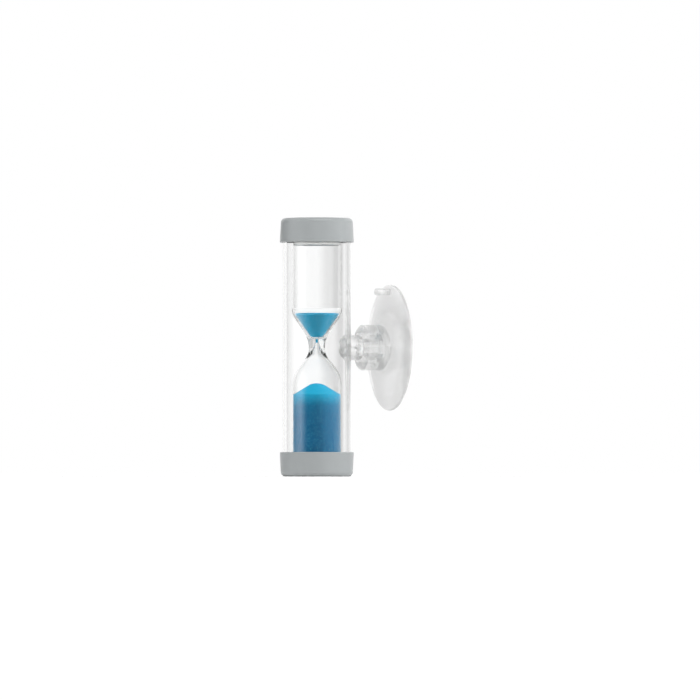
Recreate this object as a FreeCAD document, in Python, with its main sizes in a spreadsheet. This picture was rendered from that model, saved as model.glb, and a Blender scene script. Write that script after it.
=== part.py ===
# A sand timer that hangs on a suction cup and turns over about its pivot.
#
# A blown glass vial with sand stands in a clear tube between two caps. A stud through the tube's wall
# turns in the bore of a suction cup. Millimetres; +Z is up along the tube at rest, +Y points into the
# wall, and the origin is the centre of the suction face, where the pivot's axis meets the wall.
import FreeCAD, Part
import math
import os
import re

import Sketcher
from FreeCAD import Placement, Rotation, Vector

# Driving sizes, one cell each. Diameters end in _od or _id, and slips and gaps are clearances on one side.
SIZES = {
    # the timer as a whole and its clear tube
    "timer_height": 92.0,
    "tube_od": 24.3,
    "tube_wall": 1.4,
    # caps: one moulding, used at both ends
    "cap_height": 8.7,
    "cap_end_wall": 1.6,
    "cap_end_round": 1.6,
    "skirt_end_wall": 0.5,
    "skirt_rim_wall": 0.95,
    "cap_rim_round": 0.25,
    "tube_slip": 0.1,
    "collar_height": 4.0,
    "collar_wall": 1.0,
    "collar_gap": 0.7,
    "vial_slip": 0.15,
    "pad_thickness": 1.5,
    # glass vial: slopes are angles from the upright, rounds are arcs in its profile, and the rise is how far
    # the inside's shoulder lies above the outside's
    "vial_wall": 0.35,
    "vial_floor": 0.9,
    "vial_foot_round": 2.4,
    "waist_height": 42.1,
    "waist_od": 5.7,
    "waist_straight": 1.2,
    "throat_bore": 0.9,
    "throat_height": 4.0,
    "upper_slope": 32.5,
    "upper_throat_round": 9.0,
    "upper_shoulder_round": 5.2,
    "bowl_rise": 0.35,
    "bowl_shoulder_round": 5.2,
    "bowl_slope": 36.5,
    "bowl_floor_slope": 72.0,
    "bowl_round": 0.8,
    "lower_slope": 40.0,
    "lower_throat_round": 3.0,
    "lower_shoulder_round": 12.0,
    "flare_round": 4.6,
    "plug_length": 6.6,
    "plug_slip": 0.05,
    "plug_chamfer": 0.4,
    # sand: the level is above the waist, the depth is from the vial's floor to the foot of the heap, and
    # the tail is what stands in the throat
    "sand_slip": 0.05,
    "sand_tail": 1.3,
    "upper_sand_level": 12.4,
    "lower_sand_depth": 25.2,
    "heap_slope": 31.0,
    "heap_round": 6.0,
    # pivot stud
    "stud_standoff": 4.25,
    "boss_od": 8.9,
    "boss_hole": 2.2,
    "head_od": 6.8,
    "head_thickness": 1.95,
    "head_crown": 6.0,
    "rivet_od": 4.9,
    "rivet_slip": 0.05,
    "shank_od": 6.1,
    "shank_length": 7.9,
    "shank_slip": 0.05,
    "bead_od": 6.8,
    "bead_length": 1.3,
    "bead_lead": 0.9,
    "bead_slip": 0.2,
    "thrust_gap": 0.2,
    # suction cup, pressed flat on the wall
    "disc_od": 45.0,
    "disc_rim": 0.9,
    "disc_rim_round": 0.4,
    "disc_centre": 1.9,
    "disc_crown": 120.0,
    "cavity_od": 28.0,
    "cavity_depth": 0.9,
    "neck_od": 10.5,
    "neck_round": 0.4,
    "knob_foot": 2.9,
    "knob_length": 8.8,
    "knob_od": 16.3,
    "knob_back_round": 2.4,
    "knob_front_round": 1.0,
    "bore_chamfer": 0.4,
    "tab_inset": 2.6,
    "tab_width": 5.0,
    "tab_thickness": 2.6,
    "tab_reach": 5.6,
    "tab_round": 1.0,
}

# Sizes worked out from the driving ones, in order, one formula each.
WORKED = {
    "axis_y": "-(tube_od / 2 + stud_standoff + knob_length + knob_foot)",
    "tube_length": "timer_height - 2 * cap_end_wall",
    "tube_bore_r": "tube_od / 2 - tube_wall",
    # the cap's skirt goes round the tube, its collar stands inside the tube, and the vial inside the collar
    "skirt_r": "tube_od / 2 + tube_slip",
    "cap_end_r": "skirt_r + skirt_end_wall",
    "cap_rim_r": "skirt_r + skirt_rim_wall",
    "collar_outer_r": "tube_bore_r - collar_gap",
    "collar_bore_r": "collar_outer_r - collar_wall",
    "collar_top": "cap_end_wall + collar_height",
    "vial_r": "collar_bore_r - vial_slip",
    "vial_bore_r": "vial_r - vial_wall",
    "vial_length": "tube_length - 2 * pad_thickness",
    "vial_foot": "-waist_height",
    "vial_mouth": "vial_length - waist_height",
    "vial_z": "-timer_height / 2 + cap_end_wall + pad_thickness + waist_height",
    "waist_r": "waist_od / 2",
    "throat_r": "throat_bore / 2",
}


def bulb(side):
    """Adds the worked sizes of one bulb's outside: heights are from the waist, away from it."""
    slope, shoulder = f"{side}_slope", f"{side}_shoulder_round"
    WORKED.update(
        {
            f"{side}_throat_r": f"waist_r + {side}_throat_round * (1 - cos({slope}))",
            f"{side}_throat_z": f"waist_straight / 2 + {side}_throat_round * sin({slope})",
            f"{side}_cone_r": f"vial_r - {shoulder} * (1 - cos({slope}))",
            f"{side}_cone_z": f"{side}_throat_z + ({side}_cone_r - {side}_throat_r) / tan({slope})",
            f"{side}_shoulder_z": f"{side}_cone_z + {shoulder} * sin({slope})",
        }
    )


bulb("upper")
bulb("lower")
WORKED.update(
    {
        # inside the upper bulb, the shoulder's arc runs from the bore to the top of the bowl's cone
        "bowl_arc": "bowl_shoulder_round * tan(bowl_slope / 2)",
        "bowl_mouth_z": "upper_shoulder_z - upper_shoulder_round * tan(upper_slope / 2) + bowl_rise",
        "bowl_rim_z": "bowl_mouth_z + bowl_arc",
        "bowl_top_r": "vial_bore_r - bowl_arc * sin(bowl_slope)",
        "bowl_top_z": "bowl_mouth_z - bowl_arc * cos(bowl_slope)",
        # the cone turns in a small round into a shallow floor, where the throat opens
        "bowl_corner_z": "(bowl_top_r - bowl_top_z * tan(bowl_slope) - throat_r"
        " + throat_height * tan(bowl_floor_slope)) / (tan(bowl_floor_slope) - tan(bowl_slope))",
        "bowl_corner_r": "throat_r + (bowl_corner_z - throat_height) * tan(bowl_floor_slope)",
        "bowl_reach": "bowl_round * tan((bowl_floor_slope - bowl_slope) / 2)",
        "bowl_side_r": "bowl_corner_r + bowl_reach * sin(bowl_slope)",
        "bowl_side_z": "bowl_corner_z + bowl_reach * cos(bowl_slope)",
        "bowl_floor_r": "bowl_corner_r - bowl_reach * sin(bowl_floor_slope)",
        "bowl_floor_z": "bowl_corner_z - bowl_reach * cos(bowl_floor_slope)",
        "bowl_centre_r": "bowl_side_r - bowl_round * cos(bowl_slope)",
        "bowl_centre_z": "bowl_side_z + bowl_round * sin(bowl_slope)",
        # inside the lower bulb, one wall in, the cone's line passes the waist's centre at the offset, and the
        # throat flares into it; depths are downward
        "lower_inner_round": "lower_shoulder_round - vial_wall",
        "lower_inner_r": "vial_r - lower_shoulder_round + lower_inner_round * cos(lower_slope)",
        "lower_inner_z": "lower_shoulder_z - lower_inner_round * sin(lower_slope)",
        "lower_offset": "lower_inner_r * cos(lower_slope) - lower_inner_z * sin(lower_slope)",
        "flare_z": "((throat_r + flare_round) * cos(lower_slope) - flare_round - lower_offset)"
        " / sin(lower_slope)",
        "flare_touch_r": "throat_r + flare_round * (1 - cos(lower_slope))",
        "flare_touch_z": "flare_z + flare_round * sin(lower_slope)",
        "floor_z": "vial_foot + vial_floor",
        "floor_round": "vial_foot_round - vial_wall",
        # sand, one slip inside the glass
        "sand_r": "vial_bore_r - sand_slip",
        "sand_shoulder": "bowl_shoulder_round - sand_slip",
        "sand_bowl": "bowl_round - sand_slip",
        "sand_tail_r": "throat_r - sand_slip",
        "sand_tail_foot_z": "throat_height - sand_tail",
        "sand_tail_top_z": "throat_height + sand_slip * tan(bowl_floor_slope / 2)",
        "sand_top_z": "max(upper_sand_level; bowl_rim_z) + 1",
        "sand_floor_z": "floor_z + sand_slip",
        "heap_foot_z": "floor_z + lower_sand_depth",
        "heap_cap_r": "heap_round * sin(heap_slope)",
        "heap_cap_z": "heap_foot_z + (sand_r - heap_cap_r) * tan(heap_slope)",
        "heap_top_z": "heap_cap_z + heap_round * (1 - cos(heap_slope))",
        # pivot, as distances from the timer's axis and then from the wall
        "head_y": "tube_bore_r - head_thickness",
        "rivet_y": "tube_bore_r - head_thickness / 2",
        "boss_face_y": "tube_od / 2 + stud_standoff - thrust_gap",
        "stud_end_y": "tube_od / 2 + stud_standoff + shank_length",
        "bead_y": "stud_end_y - bead_lead - bead_length",
        "knob_face": "knob_foot + knob_length",
        "bore_r": "shank_od / 2 + shank_slip",
        "socket_r": "bead_od / 2 + bead_slip",
        "socket_mouth": "knob_face - shank_length + bead_lead + bead_length + bead_slip",
        "socket_end": "knob_face - shank_length - bead_slip",
        "tab_z": "disc_od / 2 - tab_inset",
    }
)


def named(text, own_sheet=False):
    """A formula with each size's name led by its sheet's. The second sheet names its own cells plainly."""

    def lead(match):
        word = match[0]
        if word in SIZES:
            return "Sizes." + word
        if word in WORKED and not own_sheet:
            return "Worked." + word
        return word

    return re.sub(r"[a-z]\w*", lead, text)


def fill_sheet(name, cells):
    """A spreadsheet with one aliased cell a line."""
    sheet = doc.addObject("Spreadsheet::Sheet", name)
    for row, (alias, content) in enumerate(cells.items(), start=1):
        sheet.set(f"A{row}", alias)
        sheet.set(f"B{row}", content)
        sheet.setAlias(f"B{row}", alias)
    return sheet


def value(text):
    """The number that a formula gives now."""
    return float(worked.evalExpression(named(text)))


def bind(thing, **formulas):
    """Ties properties to formulas. A double underscore in a name stands for a dot."""
    for name, text in formulas.items():
        thing.setExpression(name.replace("__", "."), named(text))


# ---------------------------------------------------------------- bodies, sketches and features


def new_body(name):
    body = doc.addObject("PartDesign::Body", name)
    body.Label = name
    return body


def new_sketch(body, name, plane):
    """A sketch on one of the body's own origin planes."""
    sketch = body.newObject("Sketcher::SketchObject", f"{body.Name}_{name}")
    origin_plane = next(f for f in body.Origin.OriginFeatures if f.Role == plane)
    sketch.AttachmentSupport = (origin_plane, [""])
    sketch.MapMode = "FlatFace"
    return sketch


def constrain(sketch, formula, *constraint):
    """Adds a dimension that follows a formula."""
    index = sketch.addConstraint(Sketcher.Constraint(*constraint, value(formula)))
    sketch.setExpression(f"Constraints[{index}]", named(formula))


def arc_between(start, end, radius, turn):
    """The short arc from start to end. A turn of 1 runs anticlockwise, and -1 clockwise."""
    chord = end - start
    height = math.sqrt(max(radius**2 - (chord.Length / 2) ** 2, 0.0))
    side = Vector(-chord.y, chord.x, 0).normalize() * height * turn
    centre = start + chord / 2 + side
    first, last = (start, end) if turn > 0 else (end, start)
    angles = [math.atan2(p.y - centre.y, p.x - centre.x) for p in (first, last)]
    return Part.ArcOfCircle(Part.Circle(centre, Vector(0, 0, 1), radius), *angles)


def draw(sketch, corners):
    """Draws a closed outline. A corner is (x, y), or (x, y, radius, turn) where an arc leads to the next.

    Each corner's two places and each arc's radius follow their formulas.
    """
    places = [Vector(value(x), value(y), 0) for x, y, *_ in corners]
    starts, ends = [], []
    for index, (_, _, *bend) in enumerate(corners):
        start, end = places[index], places[(index + 1) % len(places)]
        if bend:
            radius, turn = bend
            sketch.addGeometry(arc_between(start, end, value(radius), turn), False)
            constrain(sketch, radius, "Radius", index)
            starts.append(1 if turn > 0 else 2)
        else:
            sketch.addGeometry(Part.LineSegment(start, end), False)
            starts.append(1)
        ends.append(3 - starts[-1])
    for index, (x, y, *_) in enumerate(corners):
        before = index - 1 if index else len(corners) - 1
        sketch.addConstraint(Sketcher.Constraint("Coincident", before, ends[before], index, starts[index]))
        for kind, formula, axis in (("DistanceX", x, -2), ("DistanceY", y, -1)):
            if formula == "0":
                sketch.addConstraint(Sketcher.Constraint("PointOnObject", index, starts[index], axis))
            else:
                constrain(sketch, formula, kind, -1, 1, index, starts[index])


def circle(sketch, radius, x="0", y="0"):
    """Draws a circle whose centre and radius follow their formulas."""
    centre = Vector(value(x), value(y), 0)
    index = sketch.addGeometry(Part.Circle(centre, Vector(0, 0, 1), value(radius)), False)
    constrain(sketch, radius, "Radius", index)
    for kind, formula, axis in (("DistanceX", x, -2), ("DistanceY", y, -1)):
        if formula == "0":
            sketch.addConstraint(Sketcher.Constraint("PointOnObject", index, 3, axis))
        else:
            constrain(sketch, formula, kind, -1, 1, index, 3)


def revolve(body, corners, plane="XZ_Plane", axis="V_Axis"):
    """Turns an outline once round an axis of its sketch."""
    sketch = new_sketch(body, "outline", plane)
    draw(sketch, corners)
    feature = body.newObject("PartDesign::Revolution", f"{body.Name}_turned")
    feature.Profile = sketch
    feature.ReferenceAxis = (sketch, [axis])
    feature.Angle = 360
    doc.recompute()
    return feature


def require_cut(before, after, point):
    """Stops if a cut took nothing away, or left material at a point that it should clear."""
    if after.Shape.Volume >= before.Shape.Volume or after.Shape.isInside(point, 0.0, True):
        raise RuntimeError(f"{after.Label} doesn't cut where it should")


# ---------------------------------------------------------------- the tube and its caps


def outer_tube():
    """A clear tube, with a round hole through its wall side for the stud's rivet."""
    body = new_body("outer_tube")
    ring = new_sketch(body, "ring", "XY_Plane")
    circle(ring, "tube_od / 2")
    circle(ring, "tube_bore_r")
    wall = body.newObject("PartDesign::Pad", "outer_tube_wall")
    wall.Profile = ring
    bind(wall, Length="tube_length")
    doc.recompute()
    opening = new_sketch(body, "rivet_hole", "XZ_Plane")
    circle(opening, "rivet_od / 2 + rivet_slip", y="tube_length / 2")
    hole = body.newObject("PartDesign::Pocket", "outer_tube_hole")
    hole.Profile = opening
    hole.Type = "ThroughAll"
    doc.recompute()
    require_cut(wall, hole, Vector(0, value("tube_od / 2 - tube_wall / 2"), value("tube_length / 2")))
    bind(body, Placement__Base__y="axis_y", Placement__Base__z="-tube_length / 2")
    return body


def cap(name, turned_over):
    """A cup over the tube's end. Its inner collar centres the vial, and its outside widens to the rim."""
    body = new_body(name)
    revolve(
        body,
        [
            ("0", "0"),
            ("cap_end_r - cap_end_round", "0", "cap_end_round", 1),
            ("cap_end_r", "cap_end_round"),
            ("cap_rim_r", "cap_height - cap_rim_round", "cap_rim_round", 1),
            ("cap_rim_r - cap_rim_round", "cap_height"),
            ("skirt_r", "cap_height"),
            ("skirt_r", "cap_end_wall"),
            ("collar_outer_r", "cap_end_wall"),
            ("collar_outer_r", "collar_top"),
            ("collar_bore_r", "collar_top"),
            ("collar_bore_r", "cap_end_wall"),
            ("0", "cap_end_wall"),
        ],
    )
    if turned_over:
        body.Placement = Placement(Vector(), Rotation(Vector(1, 0, 0), 180))
    end_z = "timer_height / 2" if turned_over else "-timer_height / 2"
    bind(body, Placement__Base__y="axis_y", Placement__Base__z=end_z)
    return body


# ---------------------------------------------------------------- the glass and what is in it


def glass_vial():
    """Two bulbs joined by a thick waist. The lower one is closed by a floor, and the upper one is open."""
    body = new_body("glass_vial")
    outside = [
        ("0", "vial_foot"),
        ("vial_r - vial_foot_round", "vial_foot", "vial_foot_round", 1),
        ("vial_r", "vial_foot + vial_foot_round"),
        ("vial_r", "-lower_shoulder_z", "lower_shoulder_round", 1),
        ("lower_cone_r", "-lower_cone_z"),
        ("lower_throat_r", "-lower_throat_z", "lower_throat_round", -1),
        ("waist_r", "-waist_straight / 2"),
        ("waist_r", "waist_straight / 2", "upper_throat_round", -1),
        ("upper_throat_r", "upper_throat_z"),
        ("upper_cone_r", "upper_cone_z", "upper_shoulder_round", 1),
        ("vial_r", "upper_shoulder_z"),
        ("vial_r", "vial_mouth"),
    ]
    inside = [
        ("vial_bore_r", "vial_mouth"),
        ("vial_bore_r", "bowl_rim_z", "bowl_shoulder_round", -1),
        ("bowl_top_r", "bowl_top_z"),
        ("bowl_side_r", "bowl_side_z", "bowl_round", -1),
        ("bowl_floor_r", "bowl_floor_z"),
        ("throat_r", "throat_height"),
        ("throat_r", "-flare_z", "flare_round", 1),
        ("flare_touch_r", "-flare_touch_z"),
        ("lower_inner_r", "-lower_inner_z", "lower_inner_round", -1),
        ("vial_bore_r", "-lower_shoulder_z"),
        ("vial_bore_r", "floor_z + floor_round", "floor_round", -1),
        ("vial_bore_r - floor_round", "floor_z"),
        ("0", "floor_z"),
    ]
    revolve(body, outside + inside)
    bind(body, Placement__Base__y="axis_y", Placement__Base__z="vial_z")
    return body


def vial_plug():
    """The stopper, flush with the vial's mouth."""
    body = new_body("vial_plug")
    radius = "vial_bore_r - plug_slip"
    revolve(
        body,
        [
            ("0", "-plug_length"),
            (f"{radius} - plug_chamfer", "-plug_length"),
            (radius, "plug_chamfer - plug_length"),
            (radius, "0"),
            ("0", "0"),
        ],
    )
    bind(body, Placement__Base__y="axis_y", Placement__Base__z="vial_z + vial_mouth")
    return body


def pad(name, height):
    """A foam disc between the vial and a cap."""
    body = new_body(name)
    sketch = new_sketch(body, "round", "XY_Plane")
    circle(sketch, "vial_r")
    disc = body.newObject("PartDesign::Pad", f"{name}_disc")
    disc.Profile = sketch
    bind(disc, Length="pad_thickness")
    bind(body, Placement__Base__y="axis_y", Placement__Base__z=height)
    return body


def upper_sand():
    """The upper bulb's inside, less its slip, filled to a level, with a tail in the throat."""
    body = new_body("upper_sand")
    filled = revolve(
        body,
        [
            ("0", "sand_tail_foot_z"),
            ("sand_tail_r", "sand_tail_foot_z"),
            ("sand_tail_r", "sand_tail_top_z"),
            (
                "bowl_centre_r + sand_bowl * cos(bowl_floor_slope)",
                "bowl_centre_z - sand_bowl * sin(bowl_floor_slope)",
                "sand_bowl",
                1,
            ),
            (
                "bowl_centre_r + sand_bowl * cos(bowl_slope)",
                "bowl_centre_z - sand_bowl * sin(bowl_slope)",
            ),
            (
                "vial_bore_r - bowl_shoulder_round + sand_shoulder * cos(bowl_slope)",
                "bowl_rim_z - sand_shoulder * sin(bowl_slope)",
                "sand_shoulder",
                1,
            ),
            ("sand_r", "bowl_rim_z"),
            ("sand_r", "sand_top_z"),
            ("0", "sand_top_z"),
        ],
    )
    above = new_sketch(body, "above_level", "XZ_Plane")
    draw(
        above,
        [
            ("0", "upper_sand_level"),
            ("vial_r", "upper_sand_level"),
            ("vial_r", "sand_top_z + 1"),
            ("0", "sand_top_z + 1"),
        ],
    )
    level = body.newObject("PartDesign::Groove", "upper_sand_level_cut")
    level.Profile = above
    level.ReferenceAxis = (above, ["V_Axis"])
    level.Angle = 360
    doc.recompute()
    require_cut(filled, level, Vector(0, 0, value("upper_sand_level + 0.5")))
    bind(body, Placement__Base__y="axis_y", Placement__Base__z="vial_z")
    return body


def lower_sand():
    """Sand on the vial's floor, with a heap that ends in a round top."""
    body = new_body("lower_sand")
    foot_round = "(floor_round - sand_slip)"
    revolve(
        body,
        [
            ("0", "sand_floor_z"),
            (f"sand_r - {foot_round}", "sand_floor_z", foot_round, 1),
            ("sand_r", f"sand_floor_z + {foot_round}"),
            ("sand_r", "heap_foot_z"),
            ("heap_cap_r", "heap_cap_z", "heap_round", 1),
            ("0", "heap_top_z"),
        ],
    )
    bind(body, Placement__Base__y="axis_y", Placement__Base__z="vial_z")
    return body


# ---------------------------------------------------------------- the pivot

ALONG_Y = Rotation(Vector(1, 0, 0), -90)
ALONG_X = Rotation(Vector(0, 1, 0), 90)


def round_bar(name, turn=None, **formulas):
    """A cylinder on the timer's axis, turned to lie along another one if asked."""
    bar = doc.addObject("Part::Cylinder", f"stud_{name}")
    if turn:
        bar.Placement = Placement(Vector(), turn)
    bind(bar, **formulas)
    return bar


def combine(kind, name, base, tool):
    """A cut or a common of two stud pieces, with its seams kept, because later fuses need them."""
    result = doc.addObject(kind, f"stud_{name}")
    result.Base = base
    result.Tool = tool
    result.Refine = False
    return result


def pivot_stud():
    """A boss against the tube, riveted through its wall, and a shank with a snap bead for the cup's bore.

    The boss and the head fit the tube's round wall, so both are shaped by upright cylinders of its size.
    """
    upright = {
        "Height": "4 * boss_od", "Placement__Base__z": "-2 * boss_od", "Placement__Base__y": "axis_y"
    }
    tube_outside = round_bar("tube_outside", Radius="tube_od / 2 + rivet_slip", **upright)
    tube_inside = round_bar("tube_inside", Radius="tube_bore_r - rivet_slip", **upright)
    boss_bar = round_bar(
        "boss_bar", ALONG_Y, Radius="boss_od / 2", Height="boss_face_y", Placement__Base__y="axis_y"
    )
    boss = combine("Part::Cut", "boss", boss_bar, tube_outside)
    head_bar = round_bar(
        "head_bar", ALONG_Y, Radius="head_od / 2", Height="tube_wall + head_thickness",
        Placement__Base__y="axis_y + head_y",
    )
    crown = doc.addObject("Part::Sphere", "stud_crown")
    bind(crown, Radius="head_crown", Placement__Base__y="axis_y + head_y + head_crown")
    domed_head = combine("Part::Common", "domed_head", head_bar, crown)
    head = combine("Part::Common", "head", domed_head, tube_inside)
    rivet = round_bar(
        "rivet", ALONG_Y, Radius="rivet_od / 2", Height="boss_face_y - rivet_y",
        Placement__Base__y="axis_y + rivet_y",
    )
    shank = round_bar(
        "shank", ALONG_Y, Radius="shank_od / 2", Height="bead_y - boss_face_y",
        Placement__Base__y="axis_y + boss_face_y",
    )
    bead = round_bar(
        "bead", ALONG_Y, Radius="bead_od / 2", Height="bead_length", Placement__Base__y="axis_y + bead_y"
    )
    lead = doc.addObject("Part::Cone", "stud_lead")
    lead.Placement = Placement(Vector(), ALONG_Y)
    bind(
        lead, Radius1="bead_od / 2", Radius2="bead_od / 2 - bead_lead", Height="bead_lead",
        Placement__Base__y="axis_y + bead_y + bead_length",
    )
    solid = doc.addObject("Part::MultiFuse", "stud_solid")
    solid.Shapes = [boss, head, rivet, shank, bead, lead]
    solid.Refine = False
    cross_hole = round_bar(
        "cross_hole", ALONG_X, Radius="boss_hole / 2", Height="2 * boss_od",
        Placement__Base__x="-boss_od", Placement__Base__y="axis_y + (tube_od / 2 + boss_face_y) / 2",
    )
    stud = combine("Part::Cut", "drilled", solid, cross_hole)
    stud.Label = "pivot_stud"
    return stud


def suction_cup():
    """A disc pressed flat round a shallow hollow, a neck, a bored knob and a lift tab, in one moulding.

    The outline is drawn towards the room from the wall, so its first numbers are minus the distance.
    """
    body = new_body("suction_cup")
    revolve(
        body,
        [
            ("-socket_end", "0"),
            ("-socket_end", "socket_r"),
            ("-socket_mouth", "socket_r"),
            ("-socket_mouth", "bore_r"),
            ("bore_chamfer - knob_face", "bore_r"),
            ("-knob_face", "bore_r + bore_chamfer"),
            ("-knob_face", "knob_od / 2 - knob_front_round", "knob_front_round", -1),
            ("knob_front_round - knob_face", "knob_od / 2"),
            ("-knob_foot - knob_back_round", "knob_od / 2", "knob_back_round", -1),
            ("-knob_foot", "knob_od / 2 - knob_back_round"),
            ("-knob_foot", "neck_od / 2"),
            ("-disc_centre - neck_round", "neck_od / 2", "neck_round", 1),
            ("-disc_centre", "neck_od / 2 + neck_round"),
            ("-disc_centre", "neck_od / 2 + 2 * neck_round", "disc_crown", -1),
            ("-disc_rim", "disc_od / 2 - disc_rim_round", "disc_rim_round", -1),
            ("disc_rim_round - disc_rim", "disc_od / 2"),
            ("0", "disc_od / 2"),
            ("0", "cavity_od / 2", "(cavity_depth ^ 2 + (cavity_od / 2) ^ 2) / (2 * cavity_depth)", 1),
            ("-cavity_depth", "0"),
        ],
        plane="YZ_Plane",
        axis="H_Axis",
    )
    side = new_sketch(body, "tab_side", "YZ_Plane")
    low, high = "tab_z - tab_thickness / 2", "tab_z + tab_thickness / 2"
    draw(
        side,
        [
            ("0", low),
            ("0", high),
            ("tab_round - tab_reach", high, "tab_round", 1),
            ("-tab_reach", f"{high} - tab_round"),
            ("-tab_reach", f"{low} + tab_round", "tab_round", 1),
            ("tab_round - tab_reach", low),
        ],
    )
    tab = body.newObject("PartDesign::Pad", "suction_cup_tab")
    tab.Profile = side
    tab.SideType = "Symmetric"
    bind(tab, Length="tab_width")
    return body


# ---------------------------------------------------------------- the whole


def check(parts):
    """Stops if any object failed, or if a sub-part isn't one valid solid."""
    for thing in doc.Objects:
        if {"Invalid", "Error"} & set(thing.State):
            raise RuntimeError(f"{thing.Label} failed: {thing.State}")
    for part in parts:
        if part.Shape.isNull() or not part.Shape.isValid() or len(part.Shape.Solids) != 1:
            raise RuntimeError(f"{part.Label} is not one valid solid")


doc = FreeCAD.newDocument("sand_timer")
fill_sheet("Sizes", {alias: str(number) for alias, number in SIZES.items()})
worked = fill_sheet("Worked", {alias: "=" + named(text, own_sheet=True) for alias, text in WORKED.items()})
doc.recompute()

parts = [
    outer_tube(),
    cap("top_cap", turned_over=True),
    cap("bottom_cap", turned_over=False),
    glass_vial(),
    vial_plug(),
    pad("top_pad", "timer_height / 2 - cap_end_wall - pad_thickness"),
    pad("bottom_pad", "cap_end_wall - timer_height / 2"),
    upper_sand(),
    lower_sand(),
    pivot_stud(),
    suction_cup(),
]
doc.recompute()
check(parts)

os.makedirs("parts", exist_ok=True)
for part in parts:
    part.Shape.exportStep(f"parts/{part.Label}.step")
    box = part.Shape.optimalBoundingBox()
    print(
        f"{part.Label}: {part.Shape.Volume:.1f} mm3, x {box.XMin:.2f} to {box.XMax:.2f},"
        f" y {box.YMin:.2f} to {box.YMax:.2f}, z {box.ZMin:.2f} to {box.ZMax:.2f}"
    )
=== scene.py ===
"""A sand timer that turns over on a suction cup: its visible surfaces, finishes, light and camera."""
import logging
import math
from collections.abc import Mapping, Sequence
from dataclasses import dataclass, field
from enum import Enum
from functools import cache

import bmesh
import bpy
import numpy as np
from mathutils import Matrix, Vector


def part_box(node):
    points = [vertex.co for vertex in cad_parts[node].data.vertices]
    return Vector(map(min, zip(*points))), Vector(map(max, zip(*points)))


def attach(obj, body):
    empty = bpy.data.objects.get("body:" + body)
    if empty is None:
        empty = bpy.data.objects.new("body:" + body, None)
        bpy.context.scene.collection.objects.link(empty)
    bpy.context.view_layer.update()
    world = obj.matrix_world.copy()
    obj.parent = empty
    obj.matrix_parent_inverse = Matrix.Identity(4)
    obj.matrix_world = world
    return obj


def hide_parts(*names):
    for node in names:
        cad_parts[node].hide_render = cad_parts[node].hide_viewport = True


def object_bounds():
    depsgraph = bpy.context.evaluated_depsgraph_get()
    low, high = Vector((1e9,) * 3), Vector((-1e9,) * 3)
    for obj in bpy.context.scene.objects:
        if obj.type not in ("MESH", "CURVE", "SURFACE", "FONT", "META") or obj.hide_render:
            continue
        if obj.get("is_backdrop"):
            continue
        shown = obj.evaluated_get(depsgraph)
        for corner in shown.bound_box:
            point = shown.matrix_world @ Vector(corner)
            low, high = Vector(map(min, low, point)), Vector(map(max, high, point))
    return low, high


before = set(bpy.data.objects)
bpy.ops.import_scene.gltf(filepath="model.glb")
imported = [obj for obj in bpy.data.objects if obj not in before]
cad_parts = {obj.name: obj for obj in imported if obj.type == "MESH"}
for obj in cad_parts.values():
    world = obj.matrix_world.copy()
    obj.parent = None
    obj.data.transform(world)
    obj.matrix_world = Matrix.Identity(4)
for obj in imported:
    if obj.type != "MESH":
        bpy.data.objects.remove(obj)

log = logging.getLogger("sand_timer")

MM = 0.001
FULL_TURN = 2 * math.pi
RIGHT_ANGLE = math.pi / 2


class Body(Enum):
    """The bodies that pieces ride on."""

    TIMER = "timer"
    CUP = "wall_cup"


class Axis(Enum):
    """The lines that outlines are turned about."""

    TUBE = "upright, along the tube"
    PIVOT = "level, along the stud and the cup's bore"


# ---------------------------------------------------------------- outlines and surfaces


def arc(centre: Sequence[float], radius: float, start: float, end: float, step: float = 0.05) -> np.ndarray:
    """Points on an arc: the centre plus radius times (cos a, sin a), as a runs from start to end.

    Args:
        centre: Across and along, in metres.
        radius: In metres.
        start: First angle, in radians.
        end: Last angle, in radians.
        step: About how far apart the points are, in radians.

    Returns:
        An array of points, (count, 2).
    """
    count = max(3, math.ceil(abs(end - start) / step) + 1)
    angle = np.linspace(start, end, count)
    return np.column_stack((centre[0] + radius * np.cos(angle), centre[1] + radius * np.sin(angle)))


def supported(outline: np.ndarray, near: float = 0.12 * MM, apart: float = 4 * MM) -> np.ndarray:
    """The outline with more points on its long straights, so that smooth shading bends only at their ends.

    Args:
        outline: Points, (count, 2).
        near: How far from each end of a straight its first and last extra points lie.
        apart: The largest distance between the points of a straight.

    Returns:
        The outline's own points and the extra ones, in order.
    """
    pieces = []
    for start, end in zip(outline, outline[1:]):
        length = float(np.linalg.norm(end - start))
        share = np.zeros(1)
        if length > 4 * near:
            inner = np.linspace(near / length, 1 - near / length, math.ceil(length / apart) + 1)
            share = np.concatenate((share, inner))
        pieces.append(start + (end - start) * share[:, None])
    return np.vstack((*pieces, outline[-1:]))


def rounded(corners: Sequence[tuple[float, ...]], step: float = 0.05) -> np.ndarray:
    """An open outline through corners, some of them rounded.

    A round touches both sides of its corner: it starts radius times tan(half the turn) before the corner,
    and its centre lies one radius to the side that the outline turns to.

    Args:
        corners: Each is (across, along) or (across, along, radius), in metres.
        step: About how far apart a round's points are, in radians.

    Returns:
        An array of points, (count, 2).
    """
    places = [np.array(corner[:2], float) for corner in corners]
    pieces = [places[0][None]]
    for corner, before, here, after in zip(corners[1:], places, places[1:], places[2:]):
        if len(corner) < 3:
            pieces.append(here[None])
            continue
        radius = corner[2]
        to = (here - before) / np.linalg.norm(here - before)
        away = (after - here) / np.linalg.norm(after - here)
        turn = math.atan2(to[0] * away[1] - to[1] * away[0], float(to @ away))
        start = here - to * radius * math.tan(abs(turn) / 2)
        centre = start + np.array((-to[1], to[0])) * math.copysign(radius, turn)
        first = math.atan2(start[1] - centre[1], start[0] - centre[0])
        pieces.append(arc(centre, radius, first, first + turn, step))
    pieces.append(places[-1][None])
    return supported(np.vstack(pieces))


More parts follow.
